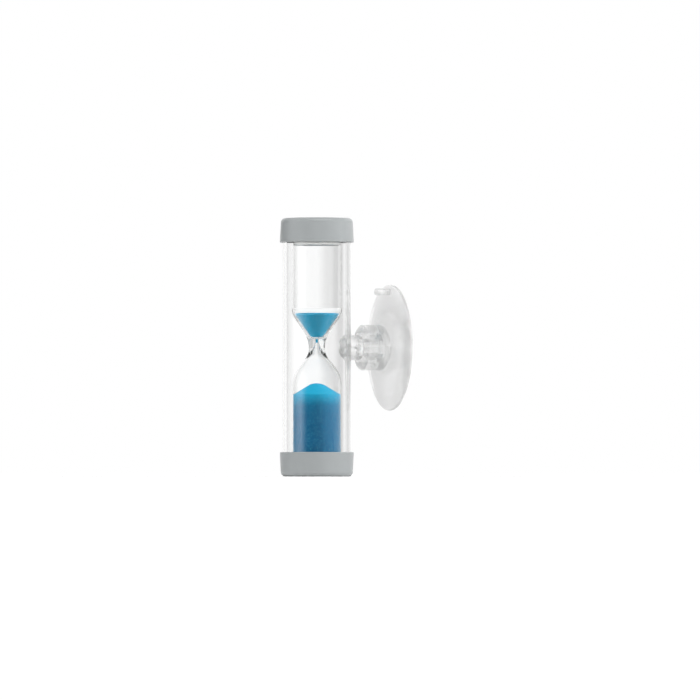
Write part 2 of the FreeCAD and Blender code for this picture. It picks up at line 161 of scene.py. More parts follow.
def crossing(point: Sequence[float], slope: float, across: float) -> tuple[float, float]:
    """Where the line through a point, leaning outwards by a slope from the upright, meets an upright one."""
    return across, point[1] + (across - point[0]) / math.tan(slope)


def meeting(
    one: Sequence[float], lean: float, other: Sequence[float], other_lean: float
) -> tuple[float, float]:
    """Where two lines meet, on each of which across = start + (along - start) * tan(lean).

    Args:
        one: A point of the first line, across and along.
        lean: The first line's angle from the upright, in radians.
        other: A point of the second line.
        other_lean: The second line's angle.

    Returns:
        The meeting point, across and along.
    """
    tan, other_tan = math.tan(lean), math.tan(other_lean)
    along = (one[0] - other[0] - one[1] * tan + other[1] * other_tan) / (other_tan - tan)
    return other[0] + (along - other[1]) * other_tan, along


def turned(outline: np.ndarray, around: np.ndarray, axis: Axis) -> np.ndarray:
    """Carries an outline round an axis: each point keeps its place along the axis and its distance from it.

    Args:
        outline: Distance from the axis and place along it, (rows, 2).
        around: The angles to stand at, in radians. On the tube's axis they start at +Y, and on the pivot's
            at +X.
        axis: The line to turn about.

    Returns:
        A grid of points, (rows, angles, 3).
    """
    radius, along = outline[:, :1], np.broadcast_to(outline[:, 1:], (len(outline), len(around)))
    if axis is Axis.TUBE:
        return np.stack((radius * np.sin(around), TUBE_Y + radius * np.cos(around), along), axis=-1)
    return np.stack((radius * np.cos(around), along, radius * np.sin(around)), axis=-1)


def whole_turn(count: int) -> np.ndarray:
    """Evenly spaced angles for one whole turn, the first one repeated at the end."""
    return np.linspace(0, FULL_TURN, count + 1)


def lattice(points: np.ndarray, cell: float, seed: int) -> np.ndarray:
    """Smooth random heights over a plane, from -1 to 1.

    Each corner of a square lattice has a random height, and a point takes the heights of the four corners
    round it, weighted by the smooth step 3t^2 - 2t^3 of how far it is across the cell each way.

    Args:
        points: Places in the plane, (..., 2), in metres.
        cell: The lattice's spacing, in metres.
        seed: Picks the heights.

    Returns:
        One height for each point.
    """
    side = 64
    table = np.random.default_rng(seed).uniform(-1, 1, (side, side))
    scaled = points / cell
    low = np.floor(scaled).astype(int)
    share = scaled - low
    u, v = np.moveaxis(share * share * (3 - 2 * share), -1, 0)
    i, j = np.moveaxis(low, -1, 0)
    near = table[i % side, j % side] * (1 - u) + table[(i + 1) % side, j % side] * u
    far = table[i % side, (j + 1) % side] * (1 - u) + table[(i + 1) % side, (j + 1) % side] * u
    return near * (1 - v) + far * v


@dataclass(frozen=True)
class Opening:
    """A ring of faces between a hole in a surface and the rectangle round it, in the surface's own measures.

    The surface's grid has its corners at the rectangle's, and as many cells along each of its sides. A
    crowding above 1 draws the rows towards the hole's rim.
    """

    centre: tuple[float, float]
    half: tuple[float, float]
    cells: int = 16
    crowding: float = 1.3

    def sides(self) -> tuple[np.ndarray, np.ndarray]:
        """The places of the grid lines that cross the rectangle, across and along."""
        across, along = (
            np.linspace(middle - reach, middle + reach, self.cells + 1)
            for middle, reach in zip(self.centre, self.half)
        )
        return across, along

    def border(self) -> np.ndarray:
        """Points round the rectangle, anticlockwise from its lower left corner and back, (4 cells + 1, 2)."""
        step = np.linspace(-1, 1, self.cells + 1)[:-1]
        one = np.ones_like(step)
        unit = np.concatenate(
            (
                np.column_stack((step, -one)),
                np.column_stack((one, step)),
                np.column_stack((-step, one)),
                np.column_stack((-one, -step)),
                [(-1.0, -1.0)],
            )
        )
        return np.array(self.centre) + unit * np.array(self.half)

    def angles(self) -> np.ndarray:
        """The bearing of each border point from the centre, in radians."""
        offset = self.border() - np.array(self.centre)
        return np.arctan2(offset[:, 1], offset[:, 0])

    def ring(self, rim: np.ndarray, rows: int = 8) -> np.ndarray:
        """Rows from the hole's rim to the border: each point is a share of the way along a straight line.

        Args:
            rim: The hole's edge at each of angles(), in the surface's measures.
            rows: How many rows there are.

        Returns:
            A grid of places, (rows, 4 cells + 1, 2).
        """
        share = np.linspace(0, 1, rows)[:, None, None] ** self.crowding
        return rim + (self.border() - rim) * share

    def covers(self, across: np.ndarray, along: np.ndarray) -> np.ndarray:
        """Marks the cells of a grid that lie in the rectangle, for a grid whose rows run along."""
        mid_across, mid_along = (across[1:] + across[:-1]) / 2, (along[1:] + along[:-1]) / 2
        in_across = np.abs(mid_across - self.centre[0]) < self.half[0]
        in_along = np.abs(mid_along - self.centre[1]) < self.half[1]
        return in_along[:, None] & in_across[None, :]


@dataclass
class Skin:
    """Grids of points that are sewn into one closed mesh."""

    name: str
    points: list[np.ndarray] = field(default_factory=list)
    faces: list[np.ndarray] = field(default_factory=list)
    count: int = 0

    def grid(self, points: np.ndarray, skip: np.ndarray | None = None) -> "Skin":
        """Adds a face in each cell of a grid.

        Args:
            points: The grid, (rows, columns, 3).
            skip: True for each cell that gets no face, (rows - 1, columns - 1).

        Returns:
            The skin itself.
        """
        rows, columns = points.shape[:2]
        at = np.arange(rows * columns).reshape(rows, columns) + self.count
        cells = np.stack((at[:-1, :-1], at[1:, :-1], at[1:, 1:], at[:-1, 1:]), axis=-1)
        self.faces.append(cells.reshape(-1, 4) if skip is None else cells[~skip])
        self.points.append(points.reshape(-1, 3))
        self.count += rows * columns
        return self

    def sew(self, crease: float = math.radians(32)) -> bpy.types.Object:
        """Joins the grids where they meet, turns every face outwards and shades the skin smooth.

        Args:
            crease: Edges that bend by more than this stay sharp, in radians.

        Returns:
            The new object, at the origin.
        """
        mesh = bpy.data.meshes.new(self.name)
        mesh.from_pydata(np.vstack(self.points), [], np.vstack(self.faces).tolist())
        work = bmesh.new()
        work.from_mesh(mesh)
        bmesh.ops.remove_doubles(work, verts=work.verts, dist=1e-7)
        loose_and_lit = [vertex for vertex in work.verts if not vertex.link_faces]
        bmesh.ops.delete(work, geom=loose_and_lit, context="VERTS")
        bmesh.ops.recalc_face_normals(work, faces=work.faces)
        gaps = sum(1 for edge in work.edges if len(edge.link_faces) != 2)
        work.to_mesh(mesh)
        work.free()
        if gaps:
            raise RuntimeError(f"{self.name} has {gaps} open edges")
        mesh.shade_smooth()
        mesh.set_sharp_from_angle(angle=crease)
        piece = bpy.data.objects.new(self.name, mesh)
        bpy.context.scene.collection.objects.link(piece)
        return piece


def lathed(name: str, outline: np.ndarray, columns: int) -> bpy.types.Object:
    """A piece from an outline that is turned once round the tube's axis, in so many columns."""
    return Skin(name).grid(turned(outline, whole_turn(columns), Axis.TUBE)).sew()


def reach_of(places: np.ndarray) -> np.ndarray:
    """How far places, (..., 2) or (..., 3), are from the tube's axis."""
    return np.hypot(places[..., 0], places[..., 1] - TUBE_Y)


def corners_of(piece: bpy.types.Object) -> np.ndarray:
    """The places of a mesh's vertices, (count, 3)."""
    flat = np.empty(len(piece.data.vertices) * 3)
    piece.data.vertices.foreach_get("co", flat)
    return flat.reshape(-1, 3)


def paint(piece: bpy.types.Object, attribute: str, amount: np.ndarray) -> None:
    """Stores one number for each vertex under an attribute's name."""
    layer = piece.data.attributes.new(attribute, "FLOAT", "POINT")
    layer.data.foreach_set("value", amount.astype(np.float32))


# ---------------------------------------------------------------- shader nodes


@dataclass(frozen=True)
class Value:
    """A number that a node gives, in Python's own arithmetic."""

    tree: "Tree"
    socket: bpy.types.NodeSocket

    def maths(self, operation: str, *terms: "Value | float") -> "Value":
        """A Math node on the given terms."""
        made = self.tree.node("ShaderNodeMath", {"operation": operation}, dict(enumerate(terms)))
        return Value(self.tree, made.outputs[0])

    def __add__(self, other: "Value | float") -> "Value":
        """This value plus another."""
        return self.maths("ADD", self, other)

    def __sub__(self, other: "Value | float") -> "Value":
        """This value less another."""
        return self.maths("SUBTRACT", self, other)

    def __rsub__(self, other: float) -> "Value":
        """A number less this value."""
        return self.maths("SUBTRACT", other, self)

    def __mul__(self, other: "Value | float") -> "Value":
        """This value times another."""
        return self.maths("MULTIPLY", self, other)

    def __truediv__(self, other: "Value | float") -> "Value":
        """This value divided by another."""
        return self.maths("DIVIDE", self, other)

    __radd__ = __add__
    __rmul__ = __mul__

    def root(self) -> "Value":
        """The square root."""
        return self.maths("SQRT", self)

    def between(self, low: float, high: float) -> "Value":
        """A smooth step that is 0 at low and 1 at high."""
        made = self.tree.node(
            "ShaderNodeMapRange",
            {"interpolation_type": "SMOOTHSTEP"},
            {"Value": self, "From Min": low, "From Max": high, "To Min": 0.0, "To Max": 1.0},
        )
        return Value(self.tree, made.outputs["Result"])


class Tree:
    """The nodes of one material or world."""

    def __init__(self, owner: bpy.types.Material | bpy.types.World) -> None:
        """Starts an empty tree.

        Args:
            owner: The material or world that the tree belongs to.
        """
        owner.use_nodes = True
        self.nodes = owner.node_tree.nodes
        self.links = owner.node_tree.links
        self.nodes.clear()

    def node(
        self,
        kind: str,
        settings: Mapping[str, object] | None = None,
        sockets: Mapping[str | int, object] | None = None,
    ) -> bpy.types.Node:
        """Adds a node.

        Args:
            kind: The node's type.
            settings: Its properties by name, set first.
            sockets: What its inputs hold, by name or number: a number, a tuple, a Value or an output.

        Returns:
            The node.
        """
        made = self.nodes.new(kind)
        for name, setting in (settings or {}).items():
            setattr(made, name, setting)
        for name, held in (sockets or {}).items():
            held = held.socket if isinstance(held, Value) else held
            if isinstance(held, bpy.types.NodeSocket):
                self.links.new(held, made.inputs[name])
            else:
                made.inputs[name].default_value = held
        return made

    def value(self, made: bpy.types.Node, output: str | int = 0) -> Value:
        """One of a node's outputs, as a number to calculate with."""
        return Value(self, made.outputs[output])

    def place(self, scale: Sequence[float] = (1, 1, 1)) -> bpy.types.NodeSocket:
        """A point's place on its object, in metres, stretched by a scale along each axis."""
        where = self.node("ShaderNodeTexCoord").outputs["Object"]
        return self.node("ShaderNodeMapping", None, {"Vector": where, "Scale": tuple(scale)}).outputs[0]

    def noise(self, per_metre: float, detail: float = 2.0, scale: Sequence[float] = (1, 1, 1)) -> Value:
        """Soft noise from 0 to 1, with so many features to the metre."""
        made = self.node(
            "ShaderNodeTexNoise", None, {"Vector": self.place(scale), "Scale": per_metre, "Detail": detail}
        )
        return self.value(made, "Fac")

    def blend(self, share: Value, one: object, other: object) -> bpy.types.NodeSocket:
        """A colour that goes from one to the other as the share goes from 0 to 1."""
        made = self.node("ShaderNodeMix", {"data_type": "RGBA"}, {"Factor": share, 6: one, 7: other})
        return made.outputs[2]

    def ramp(self, share: Value, stops: Sequence[tuple[float, float]]) -> Value:
        """A brightness that eases from stop to stop as the share goes from 0 to 1.

        Args:
            share: Where on the ramp to look.
            stops: Each stop's place, from 0 to 1, and its brightness, in order.

        Returns:
            The brightness.
        """
        made = self.node("ShaderNodeValToRGB", None, {"Fac": share})
        made.color_ramp.interpolation = "EASE"
        elements = made.color_ramp.elements
        while len(elements) < len(stops):
            elements.new(1.0)
        for element, (place, level) in zip(elements, stops):
            element.position, element.color = place, (level, level, level, 1)
        return self.value(self.node("ShaderNodeSeparateColor", None, {"Color": made.outputs["Color"]}))

    def bump(self, height: Value, depth: float) -> bpy.types.NodeSocket:
        """A surface normal bent by a height that runs from 0 to 1, which stands for a depth in metres."""
        made = self.node("ShaderNodeBump", None, {"Height": height, "Distance": depth, "Strength": 1.0})
        return made.outputs["Normal"]

    def surface(self, sockets: Mapping[str | int, object]) -> None:
        """Ends a material in one Principled surface whose inputs hold the given things."""
        made = self.node("ShaderNodeBsdfPrincipled", None, sockets)
        self.node("ShaderNodeOutputMaterial", None, {"Surface": made.outputs[0]})

    def rays(self) -> list[Value]:
        """Values that are 1 for rays from the camera, from glossy surfaces and through clear ones."""
        path = self.node("ShaderNodeLightPath")
        return [self.value(path, f"Is {kind} Ray") for kind in ("Camera", "Glossy", "Transmission")]


def opaque(red: int, green: int, blue: int) -> tuple[float, float, float, float]:
    """A colour from its 8-bit sRGB numbers, as a node's input holds it."""
    share = np.array((red, green, blue)) / 255
    linear = np.where(share <= 0.04045, share / 12.92, ((share + 0.055) / 1.055) ** 2.4)
    return (*linear.tolist(), 1.0)


# ---------------------------------------------------------------- finishes


@dataclass(frozen=True)
class Finish:
    """What a piece is made of."""

    name: str

    def draw(self, tree: Tree) -> None:
        """Draws the finish in an empty tree."""
        raise NotImplementedError

    @cache
    def material(self) -> bpy.types.Material:
        """The finish's material, made the first time that it is asked for."""
        made = bpy.data.materials.new(self.name)
        self.draw(Tree(made))
        return made


@dataclass(frozen=True)
class ClearFinish(Finish):
    """Clear glass or plastic: its bending of light, its haze, and the slight waves of its surface."""

    bending: float
    haze: float
    wave_length: float
    wave_depth: float
    wave_stretch: float = 1.0
    tint: tuple[int, int, int] = (222, 232, 229)
    darkening: float = 12.0
    body: float = 1.0
    gloss: float = 1.0
    lamp_share: float = 0.96

    def draw(self, tree: Tree) -> None:
        """Clear all through, with waves in its normal, a haze that varies, and a body that darkens slightly.

        The body's colour takes away light in step with the way that the light has gone inside, so thick and
        edge-on parts look a little darker. Lamps shine straight through, so they light what is inside.
        """
        waves = tree.noise(1 / self.wave_length, 2.0, (1, 1, 1 / self.wave_stretch))
        smears = tree.noise(0.35 / self.wave_length, 3.0).between(0.45, 0.75)
        surface = tree.node(
            "ShaderNodeBsdfPrincipled",
            None,
            {
                "Base Color": (1, 1, 1, 1),
                "Transmission Weight": 1.0,
                "IOR": self.bending,
                "Specular Tint": (self.gloss, self.gloss, self.gloss, 1),
                "Alpha": self.body,
                "Roughness": smears * (0.6 * self.haze) + self.haze,
                "Normal": tree.bump(waves, self.wave_depth),
            },
        )
        passed = (self.lamp_share,) * 3 + (1.0,)
        open_way = tree.node("ShaderNodeBsdfTransparent", None, {"Color": passed})
        to_lamp = tree.node("ShaderNodeLightPath").outputs["Is Shadow Ray"]
        shown = tree.node(
            "ShaderNodeMixShader", None, {0: to_lamp, 1: surface.outputs[0], 2: open_way.outputs[0]}
        )
        body = tree.node(
            "ShaderNodeVolumeAbsorption", None, {"Color": opaque(*self.tint), "Density": self.darkening}
        )
        tree.node("ShaderNodeOutputMaterial", None, {"Surface": shown.outputs[0], "Volume": body.outputs[0]})


@dataclass(frozen=True)
class MouldedFinish(Finish):
    """Grey moulded plastic with a satin grain."""

    name: str = "grey_moulding"
    colour: tuple[int, int, int] = (159, 163, 164)
    worn: tuple[int, int, int] = (169, 173, 174)
    roughness: float = 0.3
    clouds_per_metre: float = 260.0
    tone_spread: float = 0.3
    roughness_spread: float = 0.03
    grain: float = 0.7 * MM
    grain_depth: float = 0.002 * MM

    def draw(self, tree: Tree) -> None:
        """A satin grey whose grain, sheen and tone vary a little over the piece."""
        cloud = tree.noise(self.clouds_per_metre, 2.0).between(0.2, 0.8)
        grain = tree.noise(1 / self.grain, 1.0)
        tree.surface(
            {
                "Base Color": tree.blend(cloud * self.tone_spread, opaque(*self.colour), opaque(*self.worn)),
                "Roughness": cloud * self.roughness_spread + self.roughness,
                "IOR": 1.5,
                "Normal": tree.bump(grain, self.grain_depth),
            }
        )


@dataclass(frozen=True)
class SandFinish(Finish):
    """Fine dyed sand with painted light: a lighter colour where it lies loose on top stands in for light from
    above, and a deeper one where it is packed against the glass is partly the grains' own tone and partly
    painted shade.
    """

    name: str = "blue_sand"
    # The packed colour is partly painted shade of the sides; the loose colour is painted light from above.
    packed_and_shaded: tuple[int, int, int] = (24, 110, 155)
    loose_and_lit: tuple[int, int, int] = (30, 184, 226)
    dark: tuple[int, int, int] = (14, 84, 122)
    pale: tuple[int, int, int] = (80, 176, 208)
    gleam: tuple[int, int, int] = (70, 190, 230)
    grain: float = 0.22 * MM

    def draw(self, tree: Tree) -> None:
        """Grains as the cells of a Voronoi pattern, each with its own tone, height and sheen."""
        cells = tree.node("ShaderNodeTexVoronoi", None, {"Vector": tree.place(), "Scale": 1 / self.grain})
        own = tree.value(tree.node("ShaderNodeSeparateColor", None, {"Color": cells.outputs["Color"]}))
        # This mask paints light and shade: near 1 on the heap's top and all the upper sand, for painted light
        # from above, and near 0 down the lower sand's sides, for painted shade.
        loose_and_lit = tree.value(tree.node("ShaderNodeAttribute", {"attribute_name": "loose_and_lit"}), "Fac")
        base = tree.blend(loose_and_lit, opaque(*self.packed_and_shaded), opaque(*self.loose_and_lit))
        # Darker grains, more of them where the sand is packed, which adds to the painted shade of the sides.
        shaded = tree.blend((1 - own).between(0.55, 1.0) * (0.4 - loose_and_lit * 0.25), base, opaque(*self.dark))
        toned = tree.blend(own.between(0.72, 1.0) * 0.5, shaded, opaque(*self.pale))
        tree.surface(
            {
                "Base Color": toned,
                "Roughness": own * 0.3 + 0.55,
                "Normal": tree.bump(1 - tree.value(cells, "Distance"), 0.25 * self.grain),
                "Specular IOR Level": 0.1,
                "Sheen Weight": 0.8,
                "Sheen Roughness": 0.4,
                "Sheen Tint": opaque(*self.gleam),
            }
        )


@dataclass(frozen=True)
class SoftFinish(Finish):
    """Foam or rubber: a matt colour with cells or specks."""

    colour: tuple[int, int, int]
    pit_shade: tuple[int, int, int]
    cell: float
    depth: float
    roughness: float = 0.85

    def draw(self, tree: Tree) -> None:
        """A matt surface with a pit at the middle of each cell of a Voronoi pattern, painted darker there as
        shade.
        """
        cells = tree.node("ShaderNodeTexVoronoi", None, {"Vector": tree.place(), "Scale": 1 / self.cell})
        height = tree.value(cells, "Distance").between(0.05, 0.6)
        tree.surface(
            {
                # The pits get a darker colour, as painted shade in them.
                "Base Color": tree.blend(height, opaque(*self.pit_shade), opaque(*self.colour)),
                "Roughness": self.roughness,
                "Normal": tree.bump(height, self.depth),
            }
        )


@dataclass(frozen=True)
class FloorFinish(Finish):
    """A pale matt floor that goes over to white away from the object.

    The white is a glow that eases from its near level to its far one with the distance from the object, the
    root of x^2 + y^2. It shows to the camera and in glossy parts, weaker through clear ones, and lights
    nothing matt.
    """

    name: str = "pale_floor"
    grey: float = 0.86
    near_lift: float = 0.16
    far_lift: float = 0.9
    lift_from: float = 0.1
    lift_to: float = 0.8
    through_share: float = 0.78

    def draw(self, tree: Tree) -> None:
        """A matt grey with its glow as an emission."""
        camera, glossy, through = tree.rays()
        shown = camera + glossy * (1 - through) + through * self.through_share
        split = tree.node("ShaderNodeSeparateXYZ", None, {"Vector": tree.place()})
        x, y = (tree.value(split, axis) for axis in "XY")
        far = (x * x + y * y).root().between(self.lift_from, self.lift_to)
        near_white, far_white, grey = (
            (level,) * 3 + (1.0,) for level in (self.near_lift, self.far_lift, self.grey)
        )
        glow = tree.blend(far, near_white, far_white)
        tree.surface(
            {
                "Base Color": grey,
                "Roughness": 1.0,
                "Specular IOR Level": 0.0,
                "Emission Color": tree.blend(shown, (0, 0, 0, 1), glow),
                "Emission Strength": 1.0,
            }
        )


CAP_PLASTIC = MouldedFinish()
TUBE_PLASTIC = ClearFinish("clear_extrusion", 1.49, 0.008, 3 * MM, 0.0004 * MM, 40.0)
BLOWN_GLASS = ClearFinish("blown_glass", 1.5, 0.004, 5 * MM, 0.004 * MM, 1.6, (206, 224, 218), 16.0, 1.0, 0.4)
STUD_PLASTIC = ClearFinish("clear_moulding", 1.5, 0.03, 1.5 * MM, 0.002 * MM, 1.0, (204, 207, 206), 16.0, 0.7)
SOFT_VINYL = ClearFinish("soft_vinyl", 1.43, 0.06, 2.5 * MM, 0.006 * MM, 1.0, (204, 207, 206), 26.0, 0.48)
BLUE_SAND = SandFinish()
STOPPER_RUBBER = SoftFinish("stopper_rubber", (246, 247, 245), (236, 237, 235), 0.5 * MM, 0.01 * MM, 0.6)
PAD_FOAM = SoftFinish("pad_foam", (236, 236, 233), (188, 188, 185), 0.35 * MM, 0.06 * MM)


# ---------------------------------------------------------------- what the pieces share

TUBE_LOW, TUBE_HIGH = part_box("outer_tube")
TUBE_R = (TUBE_HIGH.x - TUBE_LOW.x) / 2
TUBE_Y = (TUBE_HIGH.y + TUBE_LOW.y) / 2
TUBE_WALL = 1.4 * MM
SAND_PIECES = ("upper_sand_fill", "lower_sand_fill")


def fit_out(
    piece: bpy.types.Object,
    finish: Finish,
    body: Body,
    node: str,
) -> None:
    """Gives a piece its material, sets it on its body and lets it stand for a node of the frame.

    Args:
        piece: The new object.
        finish: What it is made of.
        body: What it moves with.
        node: The node that it shows.
    """
    piece.data.materials.append(finish.material())
    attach(piece, body.value)
    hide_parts(node)
    log.info("%s: %d faces, %s", piece.name, len(piece.data.polygons), finish.name)


# ---------------------------------------------------------------- the tube and its caps


@dataclass
class Housing:
    """The clear tube and the two caps on its ends."""

    tube_end_round: float = 0.25 * MM
    rivet_hole_r: float = 2.5 * MM
    hole_patch: float = 4.5 * MM
    hole_cells: int = 20
    skirt_slip: float = 0.1 * MM
    end_wall: float = 1.6 * MM
    end_round: float = 1.6 * MM
    end_draft: float = 0.45 * MM
    rim_round: float = 0.25 * MM
    collar_height: float = 4.0 * MM
    collar_wall: float = 1.0 * MM
    collar_gap: float = 0.7 * MM
    collar_round: float = 0.3 * MM
    root_round: float = 0.3 * MM
    gate_r: float = 1.3 * MM
    gate_depth: float = 0.15 * MM
    gate_round: float = 0.1 * MM
    columns: int = 224

    def wall(self, radius: float, places: np.ndarray) -> np.ndarray:
        """Maps arc length on the outer wall, and height, to points on a round wall of some radius."""
        angle = places[..., 0] / TUBE_R
        return np.stack((radius * np.sin(angle), TUBE_Y + radius * np.cos(angle), places[..., 1]), axis=-1)

    def tube(self) -> bpy.types.Object:
        """The tube: two round walls, each with a hole for the rivet, the hole's side and rounded ends.

        A wall's own measures are the way round it, as arc length on the outer wall, and the height. The
        hole is a level cylinder, so at a bearing f from its centre it meets a wall of radius r at
        sin(a) = hole * cos(f) / r round the tube and at the height hole * sin(f).
        """
        bore_r = TUBE_R - TUBE_WALL
        hole = Opening((0.0, 0.0), (self.hole_patch, self.hole_patch), self.hole_cells)
        across, along = hole.sides()
        rest = np.linspace(hole.half[0], FULL_TURN * TUBE_R - hole.half[0], self.columns)
        across = np.concatenate((across, rest[1:]))
        top = TUBE_HIGH.z - self.tube_end_round
        straight = supported(np.array(((0, hole.half[1]), (0, top))), apart=5 * MM)[:, 1]
        heights = np.concatenate((-straight[::-1], along[1:-1], straight))
        skin = Skin("outer_tube_wall")
        grid = np.stack(np.meshgrid(across, heights), axis=-1)
        bearing = hole.angles()
        level, rise = self.rivet_hole_r * np.cos(bearing), self.rivet_hole_r * np.sin(bearing)
        rims = []
        for radius in (TUBE_R, bore_r):
            skin.grid(self.wall(radius, grid), hole.covers(across, heights))
            rim = np.column_stack((TUBE_R * np.arcsin(level / radius), rise))
            skin.grid(self.wall(radius, hole.ring(rim)))
            rims.append(self.wall(radius, rim))
        skin.grid(np.stack(rims))
        end = rounded(
            (
                (TUBE_R, top),
                (TUBE_R, TUBE_HIGH.z, self.tube_end_round),
                (bore_r, TUBE_HIGH.z, self.tube_end_round),
                (bore_r, top),
            ),
            0.3,
        )
        for side in (1, -1):
            skin.grid(turned(end * (1, side), across / TUBE_R, Axis.TUBE))
        return skin.sew()

    def cap(self, name: str, node: str) -> bpy.types.Object:
        """A cap: one outline turned about the tube's axis, from the gate mark outside to the floor inside.

        Args:
            name: The new object's name.
            node: The cap's node. The cap above the pivot is turned over.

        Returns:
            The cap.
        """
        low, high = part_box(node)
        rim_r, height = (high.x - low.x) / 2, high.z - low.z
        skirt_r = TUBE_R + self.skirt_slip
        collar_r = TUBE_R - TUBE_WALL - self.collar_gap
        collar_bore_r, collar_top = collar_r - self.collar_wall, self.end_wall + self.collar_height
        outline = rounded(
            (
                (0, self.gate_depth),
                (self.gate_r, self.gate_depth, self.gate_round),
                (self.gate_r + self.gate_depth, 0, self.gate_round),
                (rim_r - self.end_draft, 0, self.end_round),
                (rim_r, height, self.rim_round),
                (skirt_r, height, self.rim_round),
                (skirt_r, self.end_wall, self.root_round),
                (collar_r, self.end_wall, self.root_round),
                (collar_r, collar_top, self.collar_round),
                (collar_bore_r, collar_top, self.collar_round),
                (collar_bore_r, self.end_wall, self.root_round),
                (0, self.end_wall),
            ),
            0.12,
        )
        places = outline * (1, -1) + (0, high.z) if high.z > 0 else outline + (0, low.z)
        return lathed(name, places, self.columns)

    def build(self) -> None:
        """Makes the tube and both caps."""
        fit_out(self.tube(), TUBE_PLASTIC, Body.TIMER, "outer_tube")
        for side in ("top", "bottom"):
            piece = self.cap(f"{side}_cap_moulding", f"{side}_cap")
            fit_out(piece, CAP_PLASTIC, Body.TIMER, f"{side}_cap")


# ---------------------------------------------------------------- the glass and what is in it


@dataclass
class Vial:
    """The blown glass with its stopper, its pads and the sand.

    Heights in its outlines are from the waist's centre. A cone's line leans out from the waist by its slope.
    The lower bulb's inside follows its outside one wall further in, and the upper one's has its own bowl.
    The lower cone starts where a lower_throat_round would leave the waist, and a wider flare blends it in.
    """

    wall: float = 0.35 * MM
    floor: float = 0.9 * MM
    foot_round: float = 2.4 * MM
    waist_height: float = 42.1 * MM
    waist_r: float = 2.85 * MM
    waist_half: float = 0.6 * MM
    throat_r: float = 0.45 * MM
    throat_height: float = 4.0 * MM
    upper_slope: float = math.radians(32.5)
    upper_throat_round: float = 9.0 * MM
    upper_shoulder_round: float = 5.2 * MM
    bowl_rise: float = 0.35 * MM
    bowl_shoulder_round: float = 5.2 * MM
    bowl_slope: float = math.radians(36.5)
    bowl_floor_slope: float = math.radians(72)
    bowl_round: float = 0.8 * MM
    lower_slope: float = math.radians(40)
    lower_throat_round: float = 3.0 * MM
    lower_shoulder_round: float = 12.0 * MM
    flare_round: float = 8.6 * MM
    flare_outer_round: float = 6.0 * MM
    mouth_round: float = 0.2 * MM
    plug_slip: float = 0.05 * MM
    plug_crown: float = 0.4 * MM
    plug_edge: float = 0.2 * MM
    plug_hollow: float = 0.3 * MM
    pad_edge: float = 0.25 * MM
    pad_bulge: float = 0.1 * MM
    sand_slip: float = 0.05 * MM
    sand_tail: float = 1.3 * MM
    heap_slope: float = math.radians(31)
    heap_round: float = 6.0 * MM
    dimple_depth: float = 0.9 * MM
    dimple_r: float = 2.6 * MM
    grain_side: float = 0.24 * MM
    grain_height: float = 0.05 * MM
    lump_side: float = 2.2 * MM
    lump_height: float = 0.13 * MM
    smooth_edge: float = 0.6 * MM
    # How far below each sand's top the lighter colour reaches, which is partly painted light from above.
    upper_loose_and_lit: float = 0.9 * MM
    lower_loose_and_lit: float = 6.0 * MM
    columns: int = 200
    sand_columns: int = 320

    def __post_init__(self) -> None:
        """Takes the vial's width and place from the frame, and works out its cones' lines."""
        low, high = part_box("glass_vial")
        self.radius = (high.x - low.x) / 2
        self.bore_r = self.radius - self.wall
        self.waist_z = low.z + self.waist_height
        self.foot, self.mouth = low.z - self.waist_z, high.z - self.waist_z
        tan = math.tan
        self.upper_root, self.lower_root = (
            (self.waist_r, self.waist_half + throat_round * tan(slope / 2))
            for throat_round, slope in (
                (self.upper_throat_round, self.upper_slope),
                (self.lower_throat_round, self.lower_slope),
            )
        )
        self.upper_corner = crossing(self.upper_root, self.upper_slope, self.radius)

    def bowl(self, inset: float) -> tuple[tuple[float, ...], ...]:
        """The corners of the upper bulb's inside, from its shoulder down to the throat's edge.

        An inset moves every line in and keeps its slope, so a corner on an upright line moves in by the inset
        and up by inset * tan(slope / 2), and each round keeps its centre.

        Args:
            inset: How far inside the glass's own surface the corners are, in metres.

        Returns:
            The shoulder and the bottom's edge, each with its round, and the throat's edge.
        """
        lift, floor_lift = (inset * math.tan(slope / 2) for slope in (self.bowl_slope, self.bowl_floor_slope))
        shoulder = (self.bore_r - inset, self.upper_corner[1] + self.bowl_rise + lift)
        throat = (self.throat_r - inset, self.throat_height + floor_lift)
        edge = meeting(shoulder, self.bowl_slope, throat, self.bowl_floor_slope)
        return (*shoulder, self.bowl_shoulder_round - inset), (*edge, self.bowl_round - inset), throat

    def glass(self) -> bpy.types.Object:
        """The vial: its outside from the foot up, then its inside from the mouth down, turned once round.

        The inside of the lower bulb is its outer cone's line moved in by the wall, which at the same height
        is wall / cos(slope) nearer to the axis.
        """
        lower = self.lower_slope
        inner_root = (self.lower_root[0] - self.wall / math.cos(lower), self.lower_root[1])
        outline = rounded(
            (
                (0, self.foot),
                (self.radius, self.foot, self.foot_round),
                (self.radius, -crossing(self.lower_root, lower, self.radius)[1], self.lower_shoulder_round),
                (self.waist_r, -self.lower_root[1], self.flare_outer_round),
                (self.waist_r, self.upper_root[1], self.upper_throat_round),
                (*self.upper_corner, self.upper_shoulder_round),
                (self.radius, self.mouth, self.mouth_round),
                (self.bore_r, self.mouth, self.mouth_round),
                *self.bowl(0.0),
                (self.throat_r, -crossing(inner_root, lower, self.throat_r)[1], self.flare_round),
                (
                    self.bore_r,
                    -crossing(inner_root, lower, self.bore_r)[1],
                    self.lower_shoulder_round - self.wall,
                ),
                (self.bore_r, self.foot + self.floor, self.foot_round - self.wall),
                (0, self.foot + self.floor),
            ),
            0.035,
        )
        return lathed("vial_glass", outline + (0, self.waist_z), self.columns)

